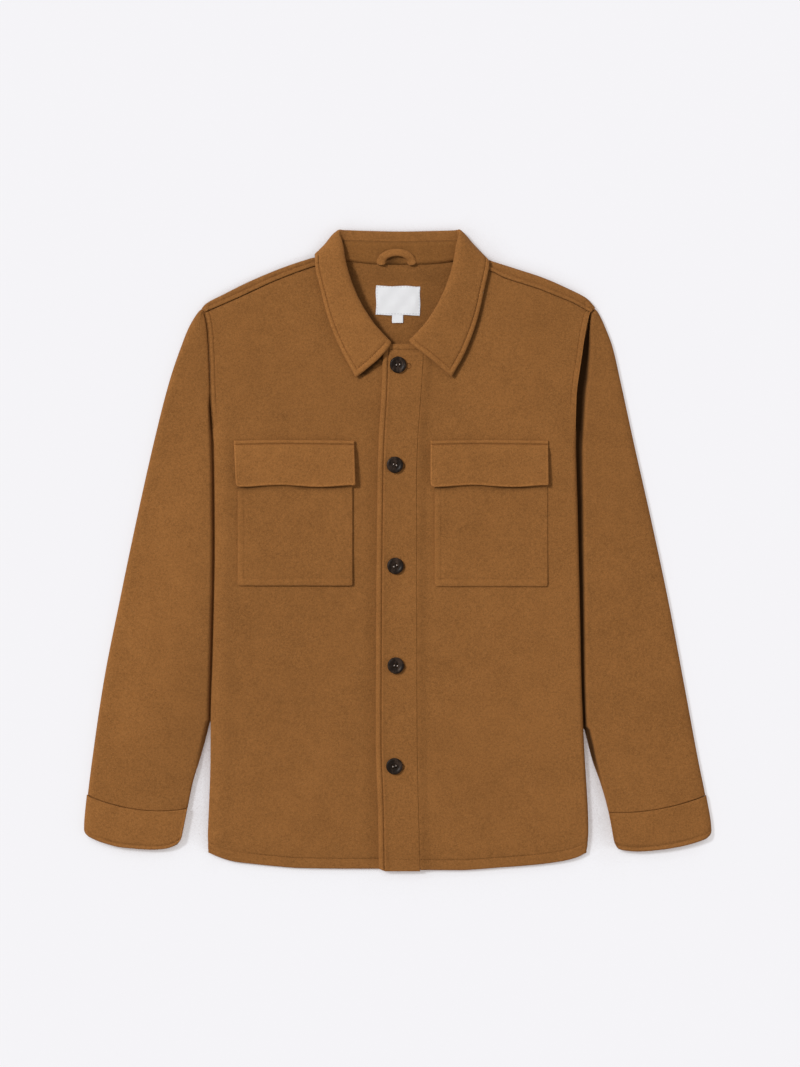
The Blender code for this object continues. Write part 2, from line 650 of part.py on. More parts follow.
def build_loop(group):
    stand_top = STAND_RIGHT[-1][1][2] + DOUBLE / 2
    leaf_seam = COLLAR_RIGHT[-1][1]

    def height(y):
        climb = (y - STAND_RIGHT[-1][1][1]) / (leaf_seam[1] - STAND_RIGHT[-1][1][1])
        return stand_top + max(climb, 0.0) * (leaf_seam[2] + DOUBLE / 2 - stand_top)

    def place(u, v):
        turn = mix(math.pi, 0.0, u)
        inner, outer = LOOP_HALF - LOOP_WIDTH / 2, LOOP_HALF + LOOP_WIDTH / 2
        rise = mix(LOOP_RISE - LOOP_WIDTH / 2, LOOP_RISE + LOOP_WIDTH / 2, v)
        x = LOOP_MIDDLE + mix(inner, outer, v) * math.cos(turn)
        y = LOOP_FOOT + rise * math.sin(turn)
        return x, y, height(y) + LOOP_CLEAR + LOOP_THICK / 2

    return sheet("hanger_loop", group, spaced(14), spaced(2), place, LOOP_THICK, colour=WOOL)


def turned_button(name, group, x, y, cutter):
    """Profile down the outer side, turned about the button's own axis."""
    rim = BUTTON_RADIUS
    top = BUTTON_THICK
    profile = ((0.0, top - BUTTON_SINK), (0.55 * rim, top - BUTTON_SINK), (0.72 * rim, top - 0.0001),
               (0.88 * rim, top), (0.98 * rim, 0.68 * top), (rim, 0.45 * top),
               (0.86 * rim, 0.10 * top), (0.70 * rim, 0.0), (0.0, 0.0))
    form = bmesh.new()
    verts = [form.verts.new((radius, 0.0, z)) for radius, z in profile]
    edges = [form.edges.new(pair) for pair in zip(verts, verts[1:])]
    bmesh.ops.spin(form, geom=verts + edges, cent=(0, 0, 0), axis=(0, 0, 1), angle=math.tau,
                   steps=STEPS, use_merge=True, use_duplicate=False)
    bmesh.ops.remove_doubles(form, verts=form.verts, dist=1e-6)
    bmesh.ops.recalc_face_normals(form, faces=form.faces)
    mesh = bpy.data.meshes.new(name)
    form.to_mesh(mesh)
    form.free()
    mesh.materials.append(finish(name, HORN, 0.35))
    button = bpy.data.objects.new(name, mesh)
    button.location = (x, y, BODY_TOP + GAP + DOUBLE + GAP)
    group.objects.link(button)
    holes = button.modifiers.new("thread holes", "BOOLEAN")
    holes.operation = "DIFFERENCE"
    holes.object = cutter(name, button.location)
    return button


def hole_cutter(cutters):
    """Four short rods, one for each thread hole, joined into one cutter."""
    def build(name, location):
        form = bmesh.new()
        for quarter in range(4):
            turn = math.radians(45 + 90 * quarter)
            rod = bmesh.ops.create_cone(form, cap_ends=True, segments=6, radius1=HOLE_RADIUS,
                                        radius2=HOLE_RADIUS, depth=4 * BUTTON_THICK)
            reach = HOLE_OFFSET * math.sqrt(2.0)
            bmesh.ops.translate(form, verts=rod["verts"],
                                vec=(reach * math.cos(turn), reach * math.sin(turn), 0.0))
        mesh = bpy.data.meshes.new(name + "_holes")
        form.to_mesh(mesh)
        form.free()
        tool = bpy.data.objects.new(name + "_holes", mesh)
        tool.location = location
        tool.hide_render = True
        tool.display_type = "WIRE"
        cutters.objects.link(tool)
        return tool

    return build


def main():
    clear_scene()
    jacket = new_collection("wool_jacket")
    cutters = new_collection("cutters")
    build_back(jacket)
    for side in ("right", "left"):
        build_front(side, jacket)
        build_sleeve(side, jacket)
        build_cuff(side, jacket)
        build_pockets(side, jacket)
    build_placket(jacket)
    build_collar(jacket)
    build_stand(jacket)
    build_loop(jacket)
    build_labels(jacket)
    for number, (x, y) in enumerate(BUTTONS, start=1):
        turned_button(f"button_{number}", jacket, x, y, hole_cutter(cutters))
    cutters.hide_render = True


main()
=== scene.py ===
# Looks of a wool overshirt laid flat: felted cloth with topstitched seams, horn buttons, a blank
# neck label, soft studio light and a camera straight above. Metres, +Z up, +X the wearer's left.

import math

import bmesh
import bpy
from mathutils import Matrix, Vector, noise


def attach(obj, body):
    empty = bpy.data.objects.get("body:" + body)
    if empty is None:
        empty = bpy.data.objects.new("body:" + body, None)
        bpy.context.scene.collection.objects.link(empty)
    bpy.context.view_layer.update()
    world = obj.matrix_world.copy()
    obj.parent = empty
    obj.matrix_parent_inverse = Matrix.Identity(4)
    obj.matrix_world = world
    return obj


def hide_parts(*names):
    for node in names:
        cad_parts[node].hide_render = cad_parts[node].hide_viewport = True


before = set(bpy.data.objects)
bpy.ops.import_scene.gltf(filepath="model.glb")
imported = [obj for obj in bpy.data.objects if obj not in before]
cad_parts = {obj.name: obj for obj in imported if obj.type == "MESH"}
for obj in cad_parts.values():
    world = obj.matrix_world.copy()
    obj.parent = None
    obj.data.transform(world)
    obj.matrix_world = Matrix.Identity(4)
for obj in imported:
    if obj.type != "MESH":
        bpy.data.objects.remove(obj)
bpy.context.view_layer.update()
print("frame loaded")


def smoothStep(value):
    value = min(max(value, 0.0), 1.0)
    return value * value * (3.0 - 2.0 * value)


def softStep(value, start, over):
    # rises from 0 at start to 1 at start + over, and over may be negative
    return smoothStep((value - start) / over)


def mix(start, end, share):
    return start + (end - start) * share


def bell(offset, width):
    return math.exp(-(offset / width) ** 2)


def follow(table, at, column=1):
    # smooth curve with no overshoot through one column of a table sorted by its first
    keys = [row[0] for row in table]
    values = [row[column] for row in table]
    if at <= keys[0]:
        return values[0]
    if at >= keys[-1]:
        return values[-1]
    k = max(i for i in range(len(keys) - 1) if keys[i] <= at)
    slopes = {i: (values[i + 1] - values[i]) / (keys[i + 1] - keys[i])
              for i in range(max(k - 1, 0), min(k + 2, len(keys) - 1))}

    def tangent(i):
        before, after = slopes.get(i - 1), slopes.get(i)
        if before is None or after is None:
            return after if before is None else before
        return 2.0 * before * after / (before + after) if before * after > 0.0 else 0.0

    span = keys[k + 1] - keys[k]
    t = (at - keys[k]) / span
    return (values[k] * (1 + 2 * t) * (1 - t) ** 2 + values[k + 1] * t * t * (3 - 2 * t)
            + span * (tangent(k) * t * (1 - t) ** 2 - tangent(k + 1) * t * t * (1 - t)))


def straight(table, at):
    for low, high in zip(table, table[1:]):
        if at <= high[0]:
            return mix(low[1], high[1], max(0.0, (at - low[0]) / (high[0] - low[0])))
    return table[-1][1]


def spaced(count, start=0.0, end=1.0):
    return [mix(start, end, k / count) for k in range(count + 1)]


def edgeSteps(*distances):
    return [d / 1000.0 for d in distances]


def wander(x, y, seed, scale):
    return noise.noise(Vector((x * scale, y * scale, seed)))


# the jacket's measures, the same as in its solids
cloth = {
    "single": 0.0020,       # one ply of felted wool
    "double": 0.0028,       # two plies, turned and pressed
    "gap": 0.0003,
    "bodyTop": 0.0076,      # outer face of the fronts and sleeves
    "placketDip": 0.0011,   # the right front sinks towards the placket's free edge
    "lapStep": 0.0027,      # rise of the left front beside the placket
    "lapRamp": 0.014,
    "hemDrop": 0.0023,
    "hemRamp": 0.026,
    "hemStitch": 0.0125,
    "underarm": 0.131,
    "sideFlap": 0.0060,
}
# side line of the body from the hem up the armhole, y and x
sideLine = {
    "right": ((-0.363, -0.2288), (-0.337, -0.2279), (-0.252, -0.2248), (-0.198, -0.2243),
              (-0.113, -0.2218), (0.010, -0.2196), (0.132, -0.2206), (0.180, -0.2238),
              (0.230, -0.2254), (0.2674, -0.2279), (0.2845, -0.2316), (0.2897, -0.2347)),
    "left": ((-0.363, 0.2278), (-0.337, 0.2284), (-0.230, 0.2230), (-0.162, 0.2202),
             (-0.064, 0.2183), (0.034, 0.2158), (0.132, 0.2134), (0.180, 0.2144),
             (0.2342, 0.2213), (0.2576, 0.2248), (0.2740, 0.2280), (0.2845, 0.2312),
             (0.2893, 0.2368)),
}
# outer and inner fold of the sleeves, y and x
sleeveOuter = {
    "right": ((-0.355, -0.3758), (-0.3365, -0.3758), (-0.292, -0.3712), (-0.252, -0.3662),
              (-0.156, -0.3520), (-0.060, -0.3330), (0.036, -0.3130), (0.132, -0.2915),
              (0.204, -0.2730), (0.2508, -0.2569), (0.2674, -0.2500), (0.2808, -0.2422),
              (0.2905, -0.2348)),
    "left": ((-0.355, 0.3764), (-0.339, 0.3764), (-0.2936, 0.3690), (-0.252, 0.3606),
             (-0.156, 0.3428), (-0.060, 0.3246), (0.036, 0.3042), (0.132, 0.2826),
             (0.204, 0.2670), (0.2438, 0.2578), (0.2618, 0.2512), (0.2808, 0.2428),
             (0.2915, 0.2362)),
}
sleeveInner = {
    "right": ((-0.3487, -0.2594), (-0.324, -0.2545), (-0.300, -0.2497), (-0.276, -0.2446),
              (-0.252, -0.2372), (-0.228, -0.2306), (-0.206, -0.2252)),
    "left": ((-0.3535, 0.2614), (-0.324, 0.2552), (-0.300, 0.2494), (-0.276, 0.2422),
             (-0.252, 0.2338), (-0.228, 0.2276), (-0.212, 0.2236)),
}
# top edge of each front, the shoulder seam and then the neckline, x and y
frontTop = {
    "right": ((-0.2316, 0.2845), (-0.1921, 0.3018), (-0.1508, 0.3210), (-0.1232, 0.3320),
              (-0.0998, 0.3400), (-0.0790, 0.3425), (-0.0730, 0.3380), (-0.0602, 0.3030),
              (-0.0400, 0.2670), (-0.0100, 0.2470), (0.0190, 0.2465)),
    "left": ((0.0310, 0.2470), (0.0450, 0.2660), (0.0650, 0.3010), (0.0785, 0.3370),
             (0.0860, 0.3420), (0.1111, 0.3348), (0.1283, 0.3258), (0.1697, 0.3127),
             (0.2110, 0.2960), (0.2310, 0.2845)),
}
# fold of the back over the shoulders and its neck seam, x and y
shoulderFold = ((-0.2356, 0.2888), (-0.2298, 0.2952), (-0.2087, 0.3064), (-0.1783, 0.3216),
                (-0.1370, 0.3388), (-0.1100, 0.3478), (-0.0985, 0.3508), (-0.0790, 0.3505),
                (0.0860, 0.3500), (0.1060, 0.3486), (0.1130, 0.3464), (0.1421, 0.3372),
                (0.1765, 0.3258), (0.2041, 0.3136), (0.2248, 0.3031), (0.2334, 0.2956),
                (0.2380, 0.2890))
neckSeam = ((-0.0790, 0.3500), (-0.0598, 0.3470), (-0.0246, 0.3438), (0.0222, 0.3445),
            (0.0654, 0.3470), (0.0860, 0.3490))
neckEnds = (-0.0790, 0.0860)
collarMiddle = 0.0045
# placket, y, its free edge and its seam
placketLine = ((-0.3850, -0.0224, 0.0272), (-0.313, -0.0235, 0.0253), (-0.228, -0.0262, 0.0236),
               (-0.092, -0.0258, 0.0232), (0.084, -0.0241, 0.0230), (0.126, -0.0230, 0.0240),
               (0.184, -0.0196, 0.0280), (0.230, -0.0179, 0.0310), (0.2470, -0.0172, 0.0320))
placketTop = 0.2470
placketLow = -0.385
# hem, x and y
hemForm = ((-0.2274, -0.3618), (-0.2226, -0.3645), (-0.2166, -0.3671), (-0.2070, -0.3706),
           (-0.1950, -0.3737), (-0.1770, -0.3760), (-0.1470, -0.3791), (-0.1170, -0.3814),
           (-0.0690, -0.3821), (-0.0330, -0.3822), (0.0400, -0.3836), (0.0750, -0.3838),
           (0.0990, -0.3825), (0.1230, -0.3806), (0.1470, -0.3789), (0.1710, -0.3767),
           (0.1950, -0.3734), (0.2070, -0.3708), (0.2166, -0.3677), (0.2238, -0.3638),
           (0.2286, -0.3595))


def hemLine(x):
    return follow(hemForm, x)


# slow swells of the body where it lies on the layers beneath: height, seed and scale
bodySwells = ((0.00055, 2.1, 7.5), (0.00028, 7.7, 19.0))
bodyDent = 0.0007


def bodyLie(x, y):
    swell = sum(height * wander(x, y, seed, scale) for height, seed, scale in bodySwells)
    swell -= bodyDent * bell(x + 0.115, 0.05) * bell(y + 0.10, 0.07)
    return swell * softStep(y, hemLine(x), 0.03)


def frontBase(side, x, y):
    # outer face of a front without its seams
    height = cloth["bodyTop"] + bodyLie(x, y)
    if side == "left":
        near = (x - follow(placketLine, y, 2)) / cloth["lapRamp"]
        height += cloth["lapStep"] * (1.0 - smoothStep(near))
    else:
        fromPlacket = x - follow(placketLine, y, 1)
        dip = softStep(fromPlacket, -0.016, 0.014) * softStep(0.21, y, 0.05)
        height -= cloth["placketDip"] * dip
    return height - cloth["hemDrop"] * (1.0 - softStep(y, hemLine(x), cloth["hemRamp"]))


def stitchedEdge(d, at, puff=0.00045, dip=0.00055, width=0.0008):
    # a puffed rim out to the stitch line, a narrow groove, and a low swell beyond it
    rim = puff * math.sin(math.pi * min(max(d / at, 0.0), 1.0)) ** 0.7
    return rim - dip * bell(d - at, width) + 0.4 * puff * bell(d - at - 0.003, 0.0022)


def rimLightGrooveShade(d, at, amount=0.07, grooveShade=1.2):
    # painted highlight on a puffed rim and painted shade in the groove beside it
    return amount * bell(d - at / 2, at / 2) - grooveShade * amount * bell(d - at, 0.0009)


# painted light and shade in broad patches over soft folds, with the right sleeve lighter and the
# left darker as the light falls: middle x and y, half widths along and across, turn, amount
paintedShadeDrift = (
    (0.123, 0.168, 0.045, 0.030, -0.6, 0.055), (-0.110, -0.130, 0.070, 0.035, 1.57, -0.020),
    (-0.120, -0.285, 0.060, 0.025, 0.86, 0.040), (-0.205, -0.330, 0.050, 0.022, 1.5, 0.035),
    (0.170, -0.120, 0.200, 0.060, 1.57, 0.022), (-0.010, 0.150, 0.060, 0.030, 0.3, 0.015),
    (-0.300, -0.060, 0.260, 0.055, 1.30, 0.135), (0.300, 0.000, 0.260, 0.060, 1.75, -0.035),
    (-0.255, -0.210, 0.060, 0.030, 1.2, -0.035),
)


def paintedShadeTone(x, y):
    total = 0.0
    for middleX, middleY, long, short, turn, amount in paintedShadeDrift:
        dx, dy = x - middleX, y - middleY
        ahead = dx * math.cos(turn) + dy * math.sin(turn)
        aside = dy * math.cos(turn) - dx * math.sin(turn)
        total += amount * bell(math.hypot(ahead / long, aside / short), 1.0)
    return total


def roundHem(side, x, y, radius):
    # the lower corner of a front is turned in a round
    sign = -1.0 if side == "right" else 1.0
    across = radius - sign * (follow(sideLine[side], y) - x)
    up = radius - (y - hemLine(x))
    if across <= 0.0 or up <= 0.0:
        return x, y
    share = 1.0 - max(across, up) / math.hypot(across, up)
    return x - sign * across * share, y + up * share


def cornerInset(height, radius):
    # how far a rounded corner stands back at a height above its lower edge
    if height >= radius:
        return 0.0
    return radius - math.sqrt(max(0.0, radius ** 2 - (radius - max(height, 0.0)) ** 2))


def roundEdge(d, radius):
    if d >= radius:
        return 0.0
    return -radius * (1.0 - math.sqrt(max(0.0, 1.0 - (1.0 - d / radius) ** 2)))


def newMaterial(name):
    material = bpy.data.materials.new(name)
    material.use_nodes = True
    nodes = material.node_tree.nodes
    return material, nodes, material.node_tree.links, nodes["Principled BSDF"]


def newGroup(name, inputs, outputs):
    group = bpy.data.node_groups.new(name, "ShaderNodeTree")
    for label, kind, value in inputs:
        socket = group.interface.new_socket(name=label, in_out="INPUT", socket_type=kind)
        socket.default_value = value
    for label, kind in outputs:
        group.interface.new_socket(name=label, in_out="OUTPUT", socket_type=kind)
    return group, group.nodes.new("NodeGroupInput"), group.nodes.new("NodeGroupOutput")


def objectPlace(nodes):
    return nodes.new("ShaderNodeTexCoord").outputs["Object"]


def addBump(nodes, links, shader, height, strength, depth):
    bump = nodes.new("ShaderNodeBump")
    bump.inputs["Strength"].default_value = strength
    bump.inputs["Distance"].default_value = depth
    links.new(height, bump.inputs["Height"])
    links.new(bump.outputs["Normal"], shader.inputs["Normal"])


def addNoise(nodes, links, vector, scale, detail):
    made = nodes.new("ShaderNodeTexNoise")
    made.inputs["Scale"].default_value = scale
    made.inputs["Detail"].default_value = detail
    made.inputs["Roughness"].default_value = 0.6
    links.new(vector, made.inputs["Vector"])
    return made.outputs["Fac"]


def addMath(nodes, links, operation, first, second):
    made = nodes.new("ShaderNodeMath")
    made.operation = operation
    for socket, value in zip(made.inputs, (first, second)):
        if isinstance(value, (int, float)):
            socket.default_value = value
        else:
            links.new(value, socket)
    return made.outputs[0]


def addRamp(nodes, links, value, low, high):
    made = nodes.new("ShaderNodeMapRange")
    made.inputs["From Min"].default_value = low
    made.inputs["From Max"].default_value = high
    links.new(value, made.inputs["Value"])
    return made.outputs["Result"]


def addBlend(nodes, links, share, first, second):
    made = nodes.new("ShaderNodeMix")
    made.data_type = "RGBA"
    for socket, value in ((made.inputs["Factor"], share), (made.inputs["A"], first),
                          (made.inputs["B"], second)):
        if isinstance(value, bpy.types.NodeSocket):
            links.new(value, socket)
        elif isinstance(value, tuple):
            socket.default_value = (*value, 1.0)
        else:
            socket.default_value = value
    return made.outputs["Result"]


feltLook = {
    # noise scale and weight of each layer, from single fibres to the drift of the nap
    "layers": (("fibre", 900.0, 1.9), ("tuft", 360.0, 1.2), ("drift", 52.0, 0.38),
               ("cloud", 13.0, 0.40)),
    "mottle": 0.85,
    "speck": 0.35,
    "speckScale": 1400.0,
    "speckRamp": (0.66, 0.76),
    "speckColour": (0.42, 0.21, 0.075),
    "roughness": (0.84, 0.98),
    "napStrength": 0.5,
    "napDepth": 0.0007,
}


def makeFeltGroup():
    group, inside, outside = newGroup(
        "feltedWool",
        [("Light Fibre", "NodeSocketColor", (0.31, 0.13, 0.038, 1.0)),
         ("Dark Fibre", "NodeSocketColor", (0.19, 0.078, 0.022, 1.0)),
         ("Mottle", "NodeSocketFloat", 0.8), ("Speck", "NodeSocketFloat", 0.3),
         ("Tone", "NodeSocketFloat", 0.0)],
        [("Color", "NodeSocketColor"), ("Roughness", "NodeSocketFloat"),
         ("Height", "NodeSocketFloat")])
    nodes, links = group.nodes, group.links
    place = objectPlace(nodes)
    share = 0.5
    parts = {}
    for name, scale, weight in feltLook["layers"]:
        parts[name] = addNoise(nodes, links, place, scale, 2.0)
        swing = addMath(nodes, links, "MULTIPLY",
                        addMath(nodes, links, "SUBTRACT", parts[name], 0.5), weight)
        swing = addMath(nodes, links, "MULTIPLY", swing, inside.outputs["Mottle"])
        share = addMath(nodes, links, "ADD", share, swing)
    colour = addBlend(nodes, links, share, inside.outputs["Dark Fibre"],
                      inside.outputs["Light Fibre"])
    speck = addNoise(nodes, links, place, feltLook["speckScale"], 0.0)
    speck = addRamp(nodes, links, speck, *feltLook["speckRamp"])
    speck = addMath(nodes, links, "MULTIPLY", speck, inside.outputs["Speck"])
    colour = addBlend(nodes, links, speck, colour, feltLook["speckColour"])
    tone = nodes.new("ShaderNodeVectorMath")
    tone.operation = "SCALE"
    links.new(colour, tone.inputs[0])
    links.new(addMath(nodes, links, "ADD", inside.outputs["Tone"], 1.0), tone.inputs["Scale"])
    links.new(tone.outputs["Vector"], outside.inputs["Color"])
    rough = nodes.new("ShaderNodeMapRange")
    rough.inputs["To Min"].default_value, rough.inputs["To Max"].default_value = (
        feltLook["roughness"])
    links.new(parts["tuft"], rough.inputs["Value"])
    links.new(rough.outputs["Result"], outside.inputs["Roughness"])
    links.new(addMath(nodes, links, "ADD", parts["fibre"], parts["tuft"]),
              outside.inputs["Height"])
    return group


feltGroup = makeFeltGroup()


def makeWool(name, look):
    material, nodes, links, shader = newMaterial(name)
    felt = nodes.new("ShaderNodeGroup")
    felt.node_tree = feltGroup
    felt.inputs["Light Fibre"].default_value = (*look["light"], 1.0)
    felt.inputs["Dark Fibre"].default_value = (*look["dark"], 1.0)
    felt.inputs["Mottle"].default_value = feltLook["mottle"]
    felt.inputs["Speck"].default_value = feltLook["speck"]
    # the tone attribute scales the colour: random changes of the nap, and painted light and shade
    tone = nodes.new("ShaderNodeAttribute")
    tone.attribute_name = "tone"
    links.new(tone.outputs["Fac"], felt.inputs["Tone"])
    links.new(felt.outputs["Color"], shader.inputs["Base Color"])
    links.new(felt.outputs["Roughness"], shader.inputs["Roughness"])
    addBump(nodes, links, shader, felt.outputs["Height"], feltLook["napStrength"],
            feltLook["napDepth"])
    shader.inputs["Specular IOR Level"].default_value = 0.1
    shader.inputs["Sheen Weight"].default_value = look["sheen"]
    shader.inputs["Sheen Roughness"].default_value = 0.4
    shader.inputs["Sheen Tint"].default_value = (0.95, 0.66, 0.38, 1.0)
    return material


woolLooks = {
    "wool": {"light": (0.330, 0.1380, 0.0382), "dark": (0.176, 0.0710, 0.0186), "sheen": 0.08},
    # a darker copy of the wool: painted shade for the stand inside the neck
    "woolShadedInside": {"light": (0.285, 0.118, 0.031), "dark": (0.172, 0.069, 0.0175),
                   "sheen": 0.05},
}
wool = makeWool("wool", woolLooks["wool"])
woolShadedInside = makeWool("woolShadedInside", woolLooks["woolShadedInside"])


def makeThread(name, colour):
    material, nodes, links, shader = newMaterial(name)
    place = objectPlace(nodes)
    twist = nodes.new("ShaderNodeTexWave")
    twist.inputs["Scale"].default_value = 900.0
    twist.inputs["Distortion"].default_value = 2.0
    links.new(place, twist.inputs["Vector"])
    shade = addBlend(nodes, links, twist.outputs["Fac"], tuple(0.72 * c for c in colour), colour)
    links.new(shade, shader.inputs["Base Color"])
    shader.inputs["Roughness"].default_value = 0.8
    shader.inputs["Specular IOR Level"].default_value = 0.1
    return material


threadColours = {
    "tonal": (0.200, 0.082, 0.022),     # all seams
    "pale": (0.78, 0.66, 0.58),         # on the buttons
    "white": (0.66, 0.66, 0.68),        # round the label
    "dark": (0.030, 0.013, 0.006),      # painted shade in the slits of the buttonholes
}
threads = {name: makeThread(name + "Thread", colour) for name, colour in threadColours.items()}
labelLook = {"dark": (0.80, 0.80, 0.815), "light": (0.88, 0.88, 0.895), "soil": (0.66, 0.66, 0.68)}
hornLook = {"dark": (0.0130, 0.0074, 0.0044), "light": (0.068, 0.042, 0.029), "streaks": 240.0,
            "veins": (0.46, 0.74)}


def makeLabelWeave():
    material, nodes, links, shader = newMaterial("labelWeave")
    place = objectPlace(nodes)
    ribs = nodes.new("ShaderNodeTexWave")
    ribs.bands_direction = "Y"
    ribs.inputs["Scale"].default_value = 420.0
    ribs.inputs["Distortion"].default_value = 0.3
    links.new(place, ribs.inputs["Vector"])
    soft = addNoise(nodes, links, place, 140.0, 2.0)
    shade = addBlend(nodes, links, ribs.outputs["Fac"], labelLook["dark"], labelLook["light"])
    shade = addBlend(nodes, links, addMath(nodes, links, "MULTIPLY", soft, 0.25), shade,
                     labelLook["soil"])
    links.new(shade, shader.inputs["Base Color"])
    shader.inputs["Roughness"].default_value = 0.5
    shader.inputs["Sheen Weight"].default_value = 0.15
    addBump(nodes, links, shader, ribs.outputs["Fac"], 0.15, 0.0002)
    return material


def makeHorn():
    material, nodes, links, shader = newMaterial("horn")
    place = objectPlace(nodes)
    stretch = nodes.new("ShaderNodeMapping")
    stretch.inputs["Scale"].default_value = (1.0, 0.35, 1.0)
    stretch.inputs["Rotation"].default_value = (0.0, 0.0, 0.6)
    links.new(place, stretch.inputs["Vector"])
    streak = addNoise(nodes, links, stretch.outputs["Vector"], hornLook["streaks"], 3.0)
    vein = addRamp(nodes, links, streak, *hornLook["veins"])
    shade = addBlend(nodes, links, vein, hornLook["dark"], hornLook["light"])
    links.new(shade, shader.inputs["Base Color"])
    shader.inputs["Roughness"].default_value = 0.42
    shader.inputs["Specular IOR Level"].default_value = 0.14
    return material


labelWeave = makeLabelWeave()
horn = makeHorn()
print("materials made")


def finishMesh(name, form, materials):
    # faces above the middle of the piece look up, so that the cloth's outside is outside
    heights = [vert.co.z for vert in form.verts]
    middle = (min(heights) + max(heights)) / 2
    form.normal_update()
    up = sum(face.normal.z * face.calc_area() for face in form.faces
             if face.calc_center_median().z >= middle)
    if up < 0.0:
        bmesh.ops.reverse_faces(form, faces=form.faces)
    mesh = bpy.data.meshes.new(name)
    form.to_mesh(mesh)
    form.free()
    for material in materials:
        mesh.materials.append(material)
    piece = bpy.data.objects.new(name, mesh)
    bpy.context.scene.collection.objects.link(piece)
    return piece


def settle(piece, sharp=55.0):
    # the modifiers become the mesh, and only true corners stay sharp
    graph = bpy.context.evaluated_depsgraph_get()
    mesh = bpy.data.meshes.new_from_object(piece.evaluated_get(graph))
    piece.modifiers.clear()
    old = piece.data
    piece.data = mesh
    bpy.data.meshes.remove(old)
    mesh.name = piece.name
    mesh.shade_smooth()
    mesh.set_sharp_from_angle(angle=math.radians(sharp))
    return piece


def makeCloth(name, columns, rows, place, thick, closed=False, keep=None, materials=(wool,)):
    # place gives x, y, z and tone of the outer face for a column and a row of the grid
    wide, high = len(columns) - 1, len(rows) - 1
    form = bmesh.new()
    bmesh.ops.create_grid(form, x_segments=wide, y_segments=high, size=0.5)
    if keep:
        spare = []
        for face in form.faces:
            centre = face.calc_center_median()
            if not keep(int((centre.x + 0.5) * wide), int((centre.y + 0.5) * high)):
                spare.append(face)
        bmesh.ops.delete(form, geom=spare, context="FACES")
    tones = form.verts.layers.float.new("tone")
    for vert in form.verts:
        i = round((vert.co.x + 0.5) * wide)
        j = round((vert.co.y + 0.5) * high)
        spot = place(columns[i], rows[j])
        vert.co = spot[:3]
        if len(spot) > 3:
            vert[tones] = spot[3]
    if closed:
        bmesh.ops.remove_doubles(form, verts=form.verts, dist=1e-6)
    piece = finishMesh(name, form, materials)
    wall = piece.modifiers.new("cloth", "SOLIDIFY")
    wall.thickness = thick
    wall.offset = -1.0
    wall.use_even_offset = False
    return settle(piece)


def along(steps, span, middle):
    # steps from both ends and an even run between them, as distances from the start
    low, high = steps
    count = max(2, round((span - low[-1] - high[-1]) / middle))
    inner = spaced(count, low[-1], span - high[-1])
    return low[:-1] + inner + [span - d for d in reversed(high[:-1])]


frontDetail = {
    "sideSteps": edgeSteps(0, 0.5, 1.2, 2.2, 3.4, 4.7, 5.4, 6.0, 6.6, 7.4, 9, 12.5),
    "seamSteps": edgeSteps(0, 0.4, 1.0, 2.0, 3.5, 6, 9),
    "hemSteps": edgeSteps(0, 0.4, 1.1, 2.5, 5, 8, 10.5, 11.6, 12.1, 12.5, 12.9, 13.4, 14.5, 17),
    "shoulderSteps": edgeSteps(0, 0.5, 1.2, 2.2, 3.6, 6, 10),
    "grid": 0.0026,         # between columns
    "rowGrid": 0.0031,
    "length": 0.647,        # of the even rows
    "hiddenEdge": 0.019,    # x of the right front's edge under the placket
    "sideSeam": 0.150,      # y where the side fold turns into the armhole seam
    "seamRoll": (0.0017, 80.0),     # radius and degrees of the edge along that seam
    "hemRelief": (0.0002, 0.00042),
    "hemRound": 0.0011,
    "topRound": 0.0012,
    "armStitch": 0.0060,
    "armStitchEnd": 0.172,
    "armWelt": 0.0008,
    "armGroove": 0.00055,
    "corner": {"right": 0.0030, "left": 0.0040},
    "hemTone": 0.035,
    "armTone": 0.06,
    "hollowShade": 0.74,
    "wingShade": 0.40,
    # lower end of the dark hollow under the front edge of the right wing, x and y
    "hollow": ((-0.0475, 0.2068), (-0.0380, 0.2099), (-0.0318, 0.2149), (-0.0265, 0.2206),
               (-0.0187, 0.2286)),
    # outer edge of the left wing, y and x
    "wing": ((0.2074, 0.0645), (0.2367, 0.0810), (0.2760, 0.0956), (0.3159, 0.1047),
             (0.3410, 0.1097)),
}


def rollSize(y):
    # the side folds under in a round turn below the underarm and sinks into the seam above it
    share = softStep(frontDetail["sideSeam"], y, 0.024)
    radius, turn = frontDetail["seamRoll"]
    return mix(radius, cloth["bodyTop"] / 2, share), math.radians(mix(turn, 180.0, share)), share


def frontSurface(side, x, y, fromSide):
    z = frontBase(side, x, y)
    z += stitchedEdge(y - hemLine(x), cloth["hemStitch"], *frontDetail["hemRelief"])
    z += roundEdge(max(y - hemLine(x), 0.0), frontDetail["hemRound"])
    atSeam = softStep(y, frontDetail["sideSeam"], 0.02)
    if side == "right":     # crowned beside the roll
        z -= (1.0 - atSeam) * (0.0012 * (1.0 - smoothStep(fromSide / 0.015))
                               + 0.0009 * softStep(fromSide, 0.015, 0.055))
    else:
        z += 0.0011 * (1.0 - smoothStep(fromSide / 0.080)) * softStep(0.30, y, 0.1)
        z += roundEdge(max(x - follow(placketLine, y, 2), 0.0), 0.0007)
    stitched = softStep(y, frontDetail["armStitchEnd"], 0.006)
    rim = softStep(frontDetail["armStitch"] + 0.0005, fromSide, 0.0016)
    z += frontDetail["armWelt"] * atSeam * rim
    z -= frontDetail["armGroove"] * stitched * bell(fromSide - frontDetail["armStitch"], 0.0008)
    fromTop = straight(frontTop[side], x) - y
    z += roundEdge(max(fromTop, 0.0), frontDetail["topRound"]) - 0.0007 * bell(fromTop, 0.0040)
    return z


def hollowShade(x, y):
    # how far the cloth lies in the dark under the lifted front edge of the right wing
    above = y - straight(frontDetail["hollow"], x)
    return softStep(above, -0.0012, 0.0026) * softStep(x, -0.0486, 0.0020) * (
        1.0 - softStep(x, -0.0165, 0.004))


